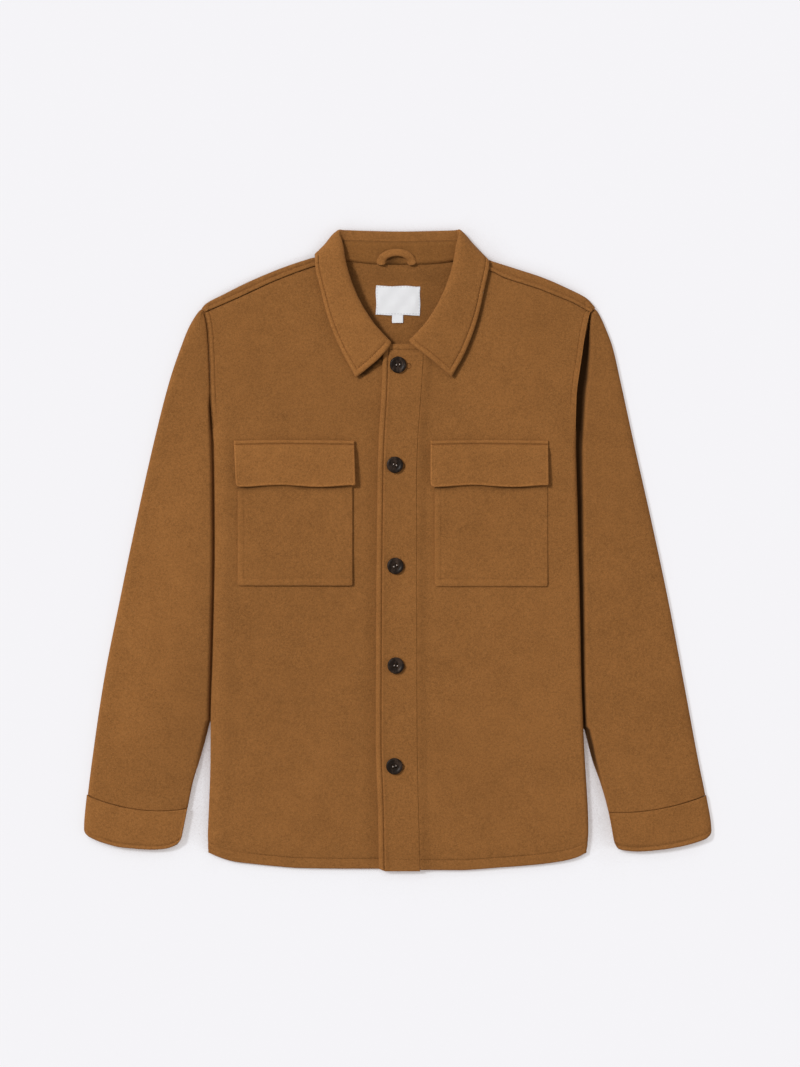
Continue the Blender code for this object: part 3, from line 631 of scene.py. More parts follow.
def wingShade(x, y):
    # the same beside the outer edge of the left wing
    out = x - straight(frontDetail["wing"], y)
    near = softStep(out, -0.0050, 0.0020) * (1.0 - softStep(out, 0.0016, 0.0070))
    return near * softStep(y, 0.2062, 0.0030) * (1.0 - 0.5 * softStep(y, 0.270, 0.06))


def frontTone(side, x, y, fromSide):
    tone = paintedShadeTone(x, y) + rimLightGrooveShade(y - hemLine(x), cloth["hemStitch"], frontDetail["hemTone"])
    stitched = softStep(y, frontDetail["armStitchEnd"], 0.006)
    tone += stitched * rimLightGrooveShade(fromSide, frontDetail["armStitch"], frontDetail["armTone"])
    if side == "left":
        return tone - frontDetail["wingShade"] * wingShade(x, y)
    # light on the crown of the side fold and shade inside it
    tone += (0.06 * bell(fromSide - 0.006, 0.010) - 0.05 * bell(fromSide - 0.022, 0.010)) * (
        1.0 - stitched)
    return tone - frontDetail["hollowShade"] * hollowShade(x, y)


def makeFront(side):
    sign = -1.0 if side == "right" else 1.0
    tops = [row[0] for row in frontTop[side]]
    topSide, topCentre = (tops[0], tops[-1]) if side == "right" else (tops[-1], tops[0])
    span = abs(topCentre - topSide)
    sideSteps, seamSteps = frontDetail["sideSteps"], frontDetail["seamSteps"]
    columns = [("flap", 1.0), ("flap", 0.5)] + [("turn", k / 7) for k in range(7, 0, -1)]
    columns += [("side", d) for d in sideSteps[:-1]]
    count = round((span - sideSteps[-1] - seamSteps[-1]) / frontDetail["grid"])
    columns += [("share", share) for share in spaced(count)]
    columns += [("centre", d) for d in reversed(seamSteps[:-1])]
    rows = [("hem", d) for d in frontDetail["hemSteps"][:-1]]
    count = round(frontDetail["length"] / frontDetail["rowGrid"])
    rows += [("share", share) for share in spaced(count)]
    rows += [("top", d) for d in reversed(frontDetail["shoulderSteps"][:-1])]

    def centreLine(y):
        if side == "right":
            return frontDetail["hiddenEdge"]
        return follow(placketLine, y, 2) + cloth["gap"] / 2

    def columnX(column, y):
        kind, value = column
        start = follow(sideLine[side], y) - sign * rollSize(y)[0]
        end = mix(centreLine(y), topCentre, softStep(y, 0.21, 0.035))
        if kind == "side":
            return start - sign * value
        if kind == "centre":
            return end + sign * value
        return mix(start - sign * sideSteps[-1], end + sign * seamSteps[-1], value)

    def topX(column):
        y = 0.30
        for _ in range(6):
            x = columnX(column, y)
            y = straight(frontTop[side], x)
        return x

    def rowY(row, xLow, xHigh):
        kind, value = row
        low = hemLine(xLow)
        high = straight(frontTop[side], xHigh) - cloth["gap"] / 2
        if kind == "hem":
            return low + value
        if kind == "top":
            return high - value
        return mix(low + frontDetail["hemSteps"][-1], high - frontDetail["shoulderSteps"][-1],
                   value)

    def onTop(column, row):
        y = rowY(row, columnX(column, -0.37), topX(column))
        x = columnX(column, y)
        fromSide = sign * (follow(sideLine[side], y) - x)
        return x, y, frontSurface(side, x, y, fromSide), frontTone(side, x, y, fromSide)

    def place(column, row):
        kind, value = column
        if kind not in ("turn", "flap"):
            x, y, z, tone = onTop(column, row)
            return *roundHem(side, x, y, frontDetail["corner"][side]), z, tone
        x, y, z, tone = onTop(("side", 0.0), row)
        radius, most, share = rollSize(y)
        radius = mix(radius, z / 2, share)
        turn = most * (value if kind == "turn" else 1.0)
        x += sign * radius * math.sin(turn)
        z -= radius * (1.0 - math.cos(turn))
        if kind == "flap":
            x -= sign * value * mix(0.0004, cloth["sideFlap"], share)
        return *roundHem(side, x, y, frontDetail["corner"][side]), max(z, 0.0), tone

    piece = makeCloth("frontCloth_" + side, columns, rows, place, cloth["single"])
    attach(piece, "root")
    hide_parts("front_" + side)


for side in ("right", "left"):
    makeFront(side)
print("fronts made")


backDetail = {
    "grid": 0.006,
    "ends": (-0.2316, 0.2310),      # x of the armhole seams at the shoulder
    "edgeSteps": edgeSteps(0, 0.6, 1.4, 2.8, 4.4, 5.3, 6.0, 6.7, 8),
    "rows": 118,            # from the hem to the fold
    # rows over the shoulder strip, as shares of its width
    "strip": (0.12, 0.24, 0.32, 0.38, 0.43, 0.47, 0.51, 0.56, 0.64, 0.74, 0.84, 0.91, 0.96,
              0.985, 1.0),
    "leafLift": cloth["double"] + cloth["gap"],
    "seamWelt": 0.0052,     # the seam's own stitch line on the shoulder strip
    # painted shade over the inside of the back seen through the neck
    "insideShade": -0.06,
    # inner edge of the right wing, y and x, with the shade beside it
    "wing": ((0.2497, -0.0093), (0.2727, -0.0306), (0.3079, -0.0509), (0.3440, -0.0627)),
    "wingShade": 0.26,
}


def leafEdge(x):
    # y of the folded collar's free edge behind the neck
    return 0.3385 + 0.014 * ((x - collarMiddle) / 0.104) ** 2


def backOuter(x, y):
    # outer face of the layer on the floor, which climbs over the folded collar
    return backDetail["leafLift"] * smoothStep((y - leafEdge(x)) / 0.012 + 1.35)


def makeBack():
    neckLow, neckHigh = neckEnds
    first, last = backDetail["ends"]
    xs = along((backDetail["edgeSteps"],) * 2, last - first, backDetail["grid"])
    xs = sorted(xs + [neckLow - first, neckHigh - first])
    columns = [x / (last - first) for x in xs]
    rows = [("share", share) for share in spaced(backDetail["rows"])]
    rows += [("fold", share) for share in spaced(8)[1:]]
    rows += [("strip", share) for share in backDetail["strip"]]

    def sides(y):
        under = softStep(cloth["underarm"], y, 0.006)
        inset = mix(0.0016, 0.0038 + cloth["sideFlap"] + cloth["gap"], under)
        inset = mix(inset, cloth["gap"] / 2, softStep(y, 0.268, 0.014))
        return follow(sideLine["right"], y) + inset, follow(sideLine["left"], y) - inset

    def foldCentre(x):
        outer = follow(shoulderFold, x)
        low = backOuter(x, outer - 0.0038)
        radius = (cloth["bodyTop"] - low) / 2
        return outer - radius, radius, low

    def place(u, row):
        kind, value = row
        xTop = mix(first, last, u)
        atNeck = neckLow + 1e-6 < xTop < neckHigh - 1e-6
        if u in (0.0, 1.0):
            xTop = sides(0.2915)[int(u)]
        yTop = follow(neckSeam, xTop) - cloth["gap"] / 2 if atNeck else foldCentre(xTop)[0]
        if kind == "share":
            xLow = mix(*sides(-0.37), u)
            y = mix(hemLine(xLow), yTop, value)
            x = mix(*sides(y), u)
            if 0.0 < u < 1.0:
                x = mix(x, xTop, softStep(value, 0.9, 0.1))
            # random nap changes, with painted shade of a soft fold right of the label and beside
            # the right wing
            insideNapAndShade = 0.05 * wander(x, y, 5.3, 24.0) - 0.05 * bell(x - 0.038, 0.012)
            fromWing = x - straight(backDetail["wing"], y)
            insideNapAndShade -= backDetail["wingShade"] * smoothStep(1.0 - fromWing / 0.012)
            return x, y, backOuter(x, y), backDetail["insideShade"] + insideNapAndShade
        tone = backDetail["insideShade"] if atNeck else 0.0
        centre, radius, low = foldCentre(xTop)
        turn = math.pi * (value if kind == "fold" else 1.0)
        y = centre + radius * math.sin(turn)
        z = low + radius * (1.0 - math.cos(turn))
        if kind == "strip":
            side = "right" if xTop < 0.0 else "left"
            seam = straight(frontTop[side], xTop) + cloth["gap"] / 2
            y = mix(centre, seam, value)
            d = y - seam
            z += bodyLie(xTop, y) * smoothStep(value * 3.0)
            welt = softStep(backDetail["seamWelt"], d, 0.0014)
            z += (0.0011 * welt - 0.0005 * bell(d - backDetail["seamWelt"] - 0.0004, 0.0009))
            z += roundEdge(max(d, 0.0), 0.0012)
            tone = rimLightGrooveShade(d, backDetail["seamWelt"], 0.07)
            fromSide = min(xTop - first, last - xTop)   # the armhole welt runs on over it
            armStitch = frontDetail["armStitch"]
            z += 0.0006 * softStep(armStitch + 0.0005, fromSide, 0.0016)
            z -= 0.0005 * bell(fromSide - armStitch, 0.0008)
            tone += rimLightGrooveShade(fromSide, armStitch, 0.06)
        return (mix(*sides(y), u) if u in (0.0, 1.0) else xTop), y, z, tone

    neck = [i for i in range(len(columns) - 1)
            if neckLow - 1e-6 < mix(first, last, (columns[i] + columns[i + 1]) / 2) < neckHigh]

    def keep(i, j):     # no fold and no strip over the neck
        return j < backDetail["rows"] or i not in neck

    piece = makeCloth("backCloth", columns, rows, place, cloth["single"], keep=keep)
    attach(piece, "root")
    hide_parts("back")


makeBack()
print("back made")


sleeveDetail = {
    "tilt": {"right": ((-0.349, 0.068), (-0.309, 0.133), (-0.240, 0.150), (0.300, 0.150)),
             "left": ((-0.347, 0.046), (-0.314, 0.175), (-0.240, 0.160), (0.300, 0.150))},
    "roll": 0.0085,         # width of the round turn along the outer fold
    "headLift": 0.0044,
    "headTuck": 0.0016,
    # the upper layer comes down beside the body to a dark ledge, given as y and width
    "right": {"ledge": ((-0.260, 0.0008), (-0.190, 0.0020), (0.100, 0.0024), (0.145, 0.0032),
                        (0.175, 0.0016), (0.190, 0.0006)),
              "turn": 0.0060, "power": 3.0, "sinkFrom": 0.205, "sinkOver": 0.050,
              "sinkEnd": -0.270, "shade": 0.16},
    "left": {"ledge": ((-0.288, 0.0004), (-0.262, 0.0024), (-0.235, 0.0042), (-0.190, 0.0042),
                       (-0.060, 0.0052), (0.017, 0.0060), (0.074, 0.0070), (0.118, 0.0076),
                       (0.146, 0.0090), (0.204, 0.0108), (0.246, 0.0072), (0.284, 0.0006)),
             "turn": 0.0065, "power": 2.6, "sinkFrom": 0.296, "sinkOver": 0.020,
             "sinkEnd": -0.296, "shade": 0.80},
    "ledgeHeight": 0.0012,
    "thick": 0.0006,
    "bowStart": -0.150,
    "cuffBow": {"right": 0.0098, "left": 0.0069},
    "hemBow": {"right": 0.0143, "left": 0.0156},
    # how the cuff's lower edge bows from the outer fold to the inner
    "hemForm": {"right": ((0.0, 0.0), (0.05, 0.26), (0.18, 0.65), (0.41, 0.98), (0.64, 1.0),
                          (0.82, 0.85), (0.93, 0.52), (1.0, 0.0)),
                "left": ((0.0, 0.0), (0.08, 0.32), (0.31, 0.75), (0.54, 0.95), (0.73, 1.0),
                         (0.886, 0.88), (0.954, 0.73), (1.0, 0.35))},
    "cuffSeam": {"right": -0.3090, "left": -0.3139},
    "cuffHem": {"right": -0.3474, "left": -0.3469},
    "lowRoll": 0.0035,
    "foldHeight": 0.42,
    "bowPower": 0.75,
    "headTop": 0.2845,      # y of the sleeve head's inner end
    "topColumns": 26,
}
cuffDetail = {
    "top": 0.0084,
    "proud": 0.0012,
    "stitch": 0.0040,
    "thick": 0.0014,
    "outerRound": 0.0036,
    "innerRound": 0.0045,
    "edgeRound": 0.0012,
    "tone": {"right": 0.08, "left": 0.03},
    "seamSteps": edgeSteps(0, 0.3, 0.9, 2.0, 4),
    "hemSteps": edgeSteps(0, 0.4, 1.0, 2.0, 2.9, 3.4, 3.9, 4.4, 5.0, 6.5, 9),
}


def sleeveLie(x, y, side):
    seed = 11.3 if side == "right" else 17.9
    return 0.0008 * wander(x, y * 0.8, seed, 9.0) + 0.0003 * wander(x, y, seed + 3.0, 24.0)


def sleeveEnds(side, yInner):
    sign = -1.0 if side == "right" else 1.0
    if yInner > sleeveInner[side][-1][0]:
        tuck = softStep(sleeveDetail[side]["sinkFrom"], yInner, 0.02)
        xInner = follow(sideLine[side], yInner) + sign * mix(cloth["gap"] / 2, -0.0010, tuck)
    else:
        xInner = follow(sleeveInner[side], yInner)
    lift = sleeveDetail["headLift"] * softStep(yInner, 0.2560, 0.0285)
    yOuter = yInner + lift
    for _ in range(4):
        xOuter = follow(sleeveOuter[side], yOuter)
        tilt = straight(sleeveDetail["tilt"][side], yInner)
        yOuter = yInner + lift + tilt * abs(xOuter - xInner)
    return (xOuter, yOuter), (xInner, yInner)


def ringColumns(top):
    # round the flattened tube: outer fold, upper layer, inner fold, lower layer
    ring = [("outerTop", share) for share in spaced(7)[:-1]]
    ring += [("top", share) for share in spaced(top)[:-1]]
    ring += [("innerTop", share) for share in spaced(16)]
    for kind, count in (("innerLow", 3), ("low", 8), ("outerLow", 5)):
        ring += [(kind, share) for share in spaced(count)[1:]]
    return ring


def innerHeight(side, d, zTop, sinkShare, ledge):
    # height of the upper layer at a distance from the inner edge: a ledge and a round turn
    # below the underarm, a seam valley above it
    form = sleeveDetail[side]
    rise = min(max((d - ledge) / form["turn"], 0.0), 1.0)
    low = sleeveDetail["ledgeHeight"]
    sunk = low + (zTop - low) * (1.0 - (1.0 - rise) ** form["power"])
    seam = zTop - 0.0011 * bell(d, 0.0014) - 0.0006 * bell(d, 0.0070)
    return mix(seam, sunk, sinkShare)


def ringPoint(side, length, column, zTop, sinkShare, ledge):
    # distance from the outer fold and height of a point round a flattened tube
    kind, share = column
    roll = min(sleeveDetail["roll"], 0.4 * length)
    sink = min(mix(0.010, ledge + sleeveDetail[side]["turn"], sinkShare), 0.5 * length)
    lowRoll = min(sleeveDetail["lowRoll"], 0.3 * length)
    zFold = zTop * sleeveDetail["foldHeight"]
    quarter = share * math.pi / 2
    if kind == "outerTop":
        return roll * (1 - math.cos(quarter)), mix(zFold, zTop, math.sin(quarter))
    if kind == "top":
        return mix(roll, length - sink, share), zTop
    if kind == "innerTop":
        d = sink * (1.0 - share)
        edge = 1.0 - math.sqrt(max(0.0, 1.0 - (1.0 - min(d / 0.0007, 1.0)) ** 2))
        return length - d, innerHeight(side, d, zTop, sinkShare, ledge) - 0.0005 * edge
    if kind == "innerLow":
        end = innerHeight(side, 0.0, zTop, sinkShare, ledge) - 0.0005
        return length - 0.0012 * (1 - math.cos(quarter)), end * (1 - math.sin(quarter))
    if kind == "low":
        return mix(length - 0.0012, lowRoll, share), 0.0
    return lowRoll * (1 - math.sin(quarter)), mix(zFold, 0.0, math.cos(quarter))


def sleeveTone(side, x, y, d, ledge, sinkShare):
    # painted shade on the ledge beside the body and in a band just past it
    tone = paintedShadeTone(x, y) - 0.04 * bell(d - ledge - 0.006, 0.008)
    inShade = 1.0 - softStep(d, ledge, 0.0030)
    return tone - sleeveDetail[side]["shade"] * inShade * sinkShare


def makeSleeve(side):
    sign = 1.0 if side == "right" else -1.0
    ring = ringColumns(sleeveDetail["topColumns"])
    arm = spaced(40, sleeveDetail["headTop"], cloth["underarm"])
    cuffSeam = sleeveDetail["cuffSeam"][side]
    down = spaced(100, cloth["underarm"], cuffSeam)[1:-1]
    seam = [cuffSeam + d for d in edgeSteps(3.0, 1.8, 1.0, 0.4, 0.0)]
    rows = arm + [y for y in down if y > seam[0] + 0.002] + seam

    def place(column, yInner):
        start, end = sleeveEnds(side, yInner)
        length = math.dist(start, end)
        form = sleeveDetail[side]
        sinkShare = softStep(form["sinkFrom"], yInner, form["sinkOver"])
        sinkShare *= softStep(yInner, form["sinkEnd"], 0.050)
        ledge = straight(form["ledge"], yInner)
        upper = column[0] in ("outerTop", "top", "innerTop")
        distance, z = ringPoint(side, length, column, cloth["bodyTop"], sinkShare, ledge)
        part = min(max(distance / length, 0.0), 1.0)
        bow = sleeveDetail["cuffBow"][side] * softStep(
            sleeveDetail["bowStart"], yInner, sleeveDetail["bowStart"] - cuffSeam)
        x = mix(start[0], end[0], part)
        y = mix(start[1], end[1], part) - bow * math.sin(math.pi * part) ** (
            sleeveDetail["bowPower"])
        if yInner == arm[0]:    # the head is turned in under the body at the shoulder
            x, y, z = x + sleeveDetail["headTuck"] * sign, y + 0.0004, 0.62 * z
        if upper:
            fade = smoothStep(distance / 0.008) * softStep(length, distance, 0.012)
            z += sleeveLie(x, y, side) * fade
            z += roundEdge(yInner - cuffSeam, 0.0010)
        return x, y, max(z, 0.0), sleeveTone(side, x, y, length - distance, ledge, sinkShare)

    piece = makeCloth("sleeveCloth_" + side, ring, rows, place, sleeveDetail["thick"],
                      closed=True)
    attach(piece, "root")
    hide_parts("sleeve_" + side)


def makeCuff(side):
    sign = -1.0 if side == "right" else 1.0
    ring = ringColumns(sleeveDetail["topColumns"])
    cuffSeam = sleeveDetail["cuffSeam"][side]
    span = cuffSeam - sleeveDetail["cuffHem"][side]
    rows = along((cuffDetail["seamSteps"], cuffDetail["hemSteps"]), span, 0.0035)

    def roundCuff(distance, length, down):
        # the lower corners are turned in a round
        outer, inner = cuffDetail["outerRound"], cuffDetail["innerRound"]
        fromEnd = length - distance
        shift = cornerInset(span - down, outer) * (1.0 - smoothStep(distance / (2 * outer)))
        return distance + shift - cornerInset(span - down, inner) * (
            1.0 - smoothStep(fromEnd / (2 * inner)))

    def place(column, down):
        share = down / span
        (xOuter, yOuter), (xInner, yInner) = sleeveEnds(side, cuffSeam - down)
        xOuter += sign * cuffDetail["proud"] * (1.0 - share)
        length = math.hypot(xOuter - xInner, yOuter - yInner)
        distance, z = ringPoint(side, length, column, cuffDetail["top"], 0.0, 0.0)
        z += 0.0020 * bell(length - distance, 0.0020) * (column[0] == "innerTop")
        part = min(max(roundCuff(distance, length, down) / length, 0.0), 1.0)
        seamBow = sleeveDetail["cuffBow"][side] * math.sin(math.pi * part) ** (
            sleeveDetail["bowPower"])
        hemBow = sleeveDetail["hemBow"][side] * follow(sleeveDetail["hemForm"][side], part)
        y = mix(yOuter, yInner, part) - mix(seamBow, hemBow, share) - cloth["gap"] / 2
        x = mix(xOuter, xInner, part)
        if column[0] in ("outerTop", "top", "innerTop"):
            fade = smoothStep(distance / 0.006) * softStep(length, distance, 0.008)
            z += sleeveLie(x, y, side) * fade * 0.6
            z += roundEdge(down, cuffDetail["edgeRound"])
            z += stitchedEdge(span - down, cuffDetail["stitch"], 0.00030, 0.00060)
            z += roundEdge(span - down, cuffDetail["edgeRound"])
        tone = paintedShadeTone(x, y) + cuffDetail["tone"][side]
        tone += rimLightGrooveShade(span - down, cuffDetail["stitch"], 0.10, 2.6) * smoothStep(part / 0.3)
        return x, y, max(z, 0.0), tone

    piece = makeCloth("cuffCloth_" + side, ring, rows, place, cuffDetail["thick"], closed=True)
    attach(piece, "root")
    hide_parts("cuff_" + side)


for side in ("right", "left"):
    makeSleeve(side)
    makeCuff(side)
print("sleeves and cuffs made")


placketDetail = {
    "edgeSteps": edgeSteps(0, 0.3, 0.8, 1.6, 3, 4.6, 5.8, 6.3, 6.8, 7.3, 7.8, 8.4, 9.2, 10,
                           12),
    "seamSteps": edgeSteps(0, 0.4, 1.0, 2.0, 3.5, 6),
    "topSteps": edgeSteps(0, 0.3, 0.8, 1.6, 3, 5, 6.2, 6.6, 7.0, 7.4, 7.8, 9, 12),
    "width": 0.0490,
    "stitch": 0.0068,
    "topStitch": 0.0070,
    "edgeTone": 0.14,
    "topTone": 0.06,
    "hem": -0.3848,
    "askew": 0.0034,        # how far the rim's lower corner is turned up
}


def placketSurface(x, y):
    free, seam = follow(placketLine, y, 1), follow(placketLine, y, 2)
    z = frontBase("left", seam, y) + 0.0002
    fromEdge, fromSeam, fromTop = x - free, seam - x, placketTop - y
    z += 0.0002 * wander(x, y, 31.0, 40.0)
    inside = softStep(fromTop, 0.004, 0.003)
    z += stitchedEdge(max(fromEdge, 0.0), placketDetail["stitch"], 0.0009, 0.0007) * inside
    z += 0.0004 * bell(fromEdge - placketDetail["stitch"] - 0.0019, 0.0009) * inside
    past = softStep(fromEdge, placketDetail["stitch"], 0.0015)
    z += stitchedEdge(fromTop, placketDetail["topStitch"], 0.0004, 0.0006) * max(
        past, 1 - inside)
    z -= 0.0004 * bell(y - hemLine(x) - cloth["hemStitch"], 0.0008) * past
    z += roundEdge(max(fromEdge, 0.0), 0.0015) + roundEdge(max(fromSeam, 0.0), 0.0007)
    z += roundEdge(max(fromTop, 0.0), 0.0013) + roundEdge(max(y - placketLow, 0.0), 0.0012)
    return z


def placketTone(x, y):
    fromEdge, fromTop = x - follow(placketLine, y, 1), placketTop - y
    inside = softStep(fromTop, 0.004, 0.003)
    tone = paintedShadeTone(x, y) + inside * rimLightGrooveShade(fromEdge, placketDetail["stitch"],
                                            placketDetail["edgeTone"], 0.6)
    return tone + smoothStep(fromEdge / 0.007) * rimLightGrooveShade(fromTop, placketDetail["topStitch"],
                                                         placketDetail["topTone"])


buttonholes = {
    "width": 0.0013,
    "start": 0.0080,        # from the button's middle
    "low": 0.0012,          # how far it lies below that
    "eye": 0.0058,          # across the purled eye at its end
    "purl": 0.0006,
    # x of the visible end and y of each
    "ends": ((0.0162, 0.2215), (0.0090, 0.1020), (0.0088, -0.0190), (0.0088, -0.1380),
             (0.0084, -0.2586)),
}


def makePlacket():
    width = placketDetail["width"]
    columns = along((placketDetail["edgeSteps"], placketDetail["seamSteps"]), width, 0.0028)
    rows = along((frontDetail["hemSteps"], placketDetail["topSteps"]), placketTop - placketLow,
                 0.0034)

    def place(d, up):
        y = placketLow + up
        free, seam = follow(placketLine, y, 1), follow(placketLine, y, 2) - cloth["gap"] / 2
        fixed = placketDetail["edgeSteps"][-1]
        if d <= fixed:
            x = free + d
        else:
            x = mix(free + fixed, seam, (d - fixed) / (width - fixed))
        nearHem = 1.0 - min(up / 0.02, 1.0)
        y += (placketDetail["hem"] - placketLow) * nearHem
        y += placketDetail["askew"] * max(0.0, 1.0 - d / 0.0075) * nearHem
        return x, y, placketSurface(x, y), placketTone(x, y)

    piece = makeCloth("placketCloth", columns, rows, place, cloth["double"])
    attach(piece, "root")
    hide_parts("placket")


makePlacket()
print("placket made")


collar = {
    "turn": 1.60,           # place at the middle of the back
    "wing": 0.150,          # length along the collar for one step of the place
    "edgeShare": 0.2,       # share of a section between its last two points
    "stitch": 0.0064,
    "edgeSteps": edgeSteps(0, 0.3, 0.8, 1.6, 2.8, 4.2, 5.2, 5.8, 6.4, 7.0, 7.7, 9.5, 12),
    # columns from the stand seam over the roll, as shares of a section
    "rollSteps": (0.0, 0.008, 0.016, 0.024, 0.034, 0.046, 0.06, 0.085, 0.12, 0.16),
    "puff": 0.0009,
    "groove": 0.0005,
    "edgeRound": 0.0012,
    "rightTone": 0.13,
    "leftTone": 0.075,
    "edgeTone": 0.11,
    "turnTone": 0.05,       # painted highlight behind the neck, on the turned edge over the stand
    "seamShade": 0.34,
    "foldShade": 0.36,
    "standFoldShade": 0.40,
    "standRound": 0.0011,
}
# stations of the right wing: the place, then x, y, z of the stand seam, the turn up, the roll,
# the leaf beside it, its middle and its free edge
collarStations = (
    (0.00, (-.0128, .2482, .0104), (-.0106, .2482, .0110), (-.0079, .2474, .0127),
     (-.0117, .2407, .0151), (-.0262, .2249, .0148), (-.0498, .2064, .0112)),
    (0.22, (-.0342, .2704, .0112), (-.0322, .2717, .0122), (-.0306, .2727, .0152),
     (-.0345, .2702, .0174), (-.0500, .2570, .0160), (-.0664, .2367, .0108)),
    (0.50, (-.0548, .3060, .0120), (-.0527, .3071, .0130), (-.0509, .3079, .0160),
     (-.0550, .3058, .0184), (-.0680, .2940, .0162), (-.0826, .2760, .0106)),
    (0.76, (-.0662, .3428, .0114), (-.0643, .3435, .0125), (-.0627, .3440, .0154),
     (-.0668, .3425, .0178), (-.0800, .3320, .0150), (-.0930, .3159, .0104)),
    (0.93, (-.0695, .3620, .0106), (-.0682, .3632, .0117), (-.0664, .3660, .0142),
     (-.0708, .3652, .0164), (-.0850, .3550, .0136), (-.0985, .3410, .0104)),
    (1.00, (-.0712, .3668, .0088), (-.0700, .3732, .0096), (-.0708, .3794, .0106),
     (-.0762, .3770, .0093), (-.0872, .3648, .0070), (-.0988, .3530, .0062)),
    (1.05, (-.0690, .3690, .0072), (-.0684, .3778, .0082), (-.0688, .3826, .0068),
     (-.0722, .3800, .0046), (-.0805, .3675, .0026), (-.0932, .3522, .0018)),
    (1.10, (-.0620, .3694, .0066), (-.0622, .3796, .0052), (-.0624, .3818, .0034),
     (-.0650, .3796, .0015), (-.0720, .3640, .0014), (-.0810, .3480, .0014)),
    (1.35, (-.0280, .3684, .0062), (-.0285, .3788, .0051), (-.0290, .3806, .0033),
     (-.0300, .3788, .0014), (-.0320, .3610, .0014), (-.0350, .3405, .0014)),
    (1.60, (.0045, .3676, .0061), (.0045, .3782, .0051), (.0045, .3800, .0033),
     (.0045, .3782, .0014), (.0045, .3600, .0014), (.0045, .3385, .0014)),
)
# how far the left wing's points stand out from the right ones' mirror image
leftWingOut = (-0.0039, -0.0039, -0.0039, -0.0036, 0.0006)
leftEdgeOut = ((0.00, 0.0064), (0.22, 0.0056), (0.50, 0.0040), (0.76, 0.0027), (0.93, 0.0022),
               (1.10, 0.0))
# the left wing's front edge and the corner of its fold aren't the right ones' mirror image
leftCorner = {
    0.00: ((.0179, .2486, .0104), (.0161, .2494, .0110), (.0144, .2497, .0126),
           (.0184, .2450, .0148), (.0401, .2278, .0144), (.0648, .2072, .0112)),
    1.00: ((.0775, .3666, .0088), (.0758, .3730, .0096), (.0754, .3796, .0106),
           (.0797, .3767, .0093), (.0920, .3633, .0070), (.1071, .3478, .0062)),
    1.05: ((.0765, .3692, .0072), (.0745, .3776, .0082), (.0733, .3828, .0068),
           (.0763, .3806, .0046), (.0870, .3677, .0026), (.1012, .3522, .0018)),
}
# stations of the stand's lower edge
standStations = (
    (0.16, (-.0330, .2660, .0106)), (0.22, (-.0385, .2690, .0104)),
    (0.50, (-.0600, .3030, .0098)), (0.76, (-.0725, .3415, .0096)),
    (0.93, (-.0765, .3485, .0096)), (1.00, (-.0782, .3522, .0078)),
    (1.05, (-.0735, .3512, .0058)), (1.10, (-.0620, .3490, .0047)),
    (1.35, (-.0270, .3452, .0045)), (1.60, (.0045, .3446, .0045)),
)


def bothHalves(rows):
    other = []
    for place, *points in reversed(rows[:-1]):
        inWing = 1.0 - softStep(place, 0.93, 0.17)
        shifts = [out * inWing for out in leftWingOut] + [straight(leftEdgeOut, place)]
        mirrored = [(2 * collarMiddle - x + shift, y, z)
                    for (x, y, z), shift in zip(points, shifts)]
        if len(points) == 6:
            mirrored = leftCorner.get(place, mirrored)
        other.append((2 * collar["turn"] - place, *mirrored))
    return list(rows) + other


leafTable = bothHalves(collarStations)
standTable = bothHalves(standStations)


def stationPoint(table, at, column):
    return Vector([follow([(row[0], row[column][axis]) for row in table], at)
                   for axis in range(3)])


def across(points, share):
    # centripetal Catmull-Rom curve through the points of one cross-section
    points = [2 * points[0] - points[1], *points, 2 * points[-1] - points[-2]]
    last = len(points) - 3
    k = min(int(share * last), last - 1)
    a, b, c, d = points[k:k + 4]
    t1 = (b - a).length ** 0.5
    t2 = t1 + (c - b).length ** 0.5
    t3 = t2 + (d - c).length ** 0.5
    t = mix(t1, t2, share * last - k)
    ab, cd = a.lerp(b, t / t1), c.lerp(d, (t - t2) / (t3 - t2))
    middle = (t - t1) / (t2 - t1)
    bc = b.lerp(c, middle)
    return ab.lerp(bc, t / t2).lerp(bc.lerp(cd, (t - t1) / (t3 - t1)), middle)


sectionCache = {}


def section(at):
    key = round(at, 6)
    if key not in sectionCache:
        sectionCache[key] = [stationPoint(leafTable, at, column) for column in range(1, 7)]
    return sectionCache[key]


def leafPoint(share, at):
    return across(section(at), share)


def leafNormal(share, at):
    step = 0.004
    low, high = max(share - step, 0.0), min(share + step, 1.0)
    alongSection = leafPoint(high, at) - leafPoint(low, at)
    alongCollar = leafPoint(share, min(at + step, 3.2)) - leafPoint(share, max(at - step, 0.0))
    return alongCollar.cross(alongSection).normalized()


def inFold(x):
    # how far x lies inside the collar's own fold at the right end of the neck
    return smoothStep(1.0 - (x + 0.0665) / 0.009)


def wingPlaces():
    # rows close together beside the front edge of each wing, where the stitching runs
    half = [d / collar["wing"] for d in collar["edgeSteps"]]
    half += spaced(60, 0.0135 / collar["wing"], 1.10) + spaced(24, 1.10, collar["turn"])[1:]
    return half + [2 * collar["turn"] - at for at in reversed(half[:-1])]


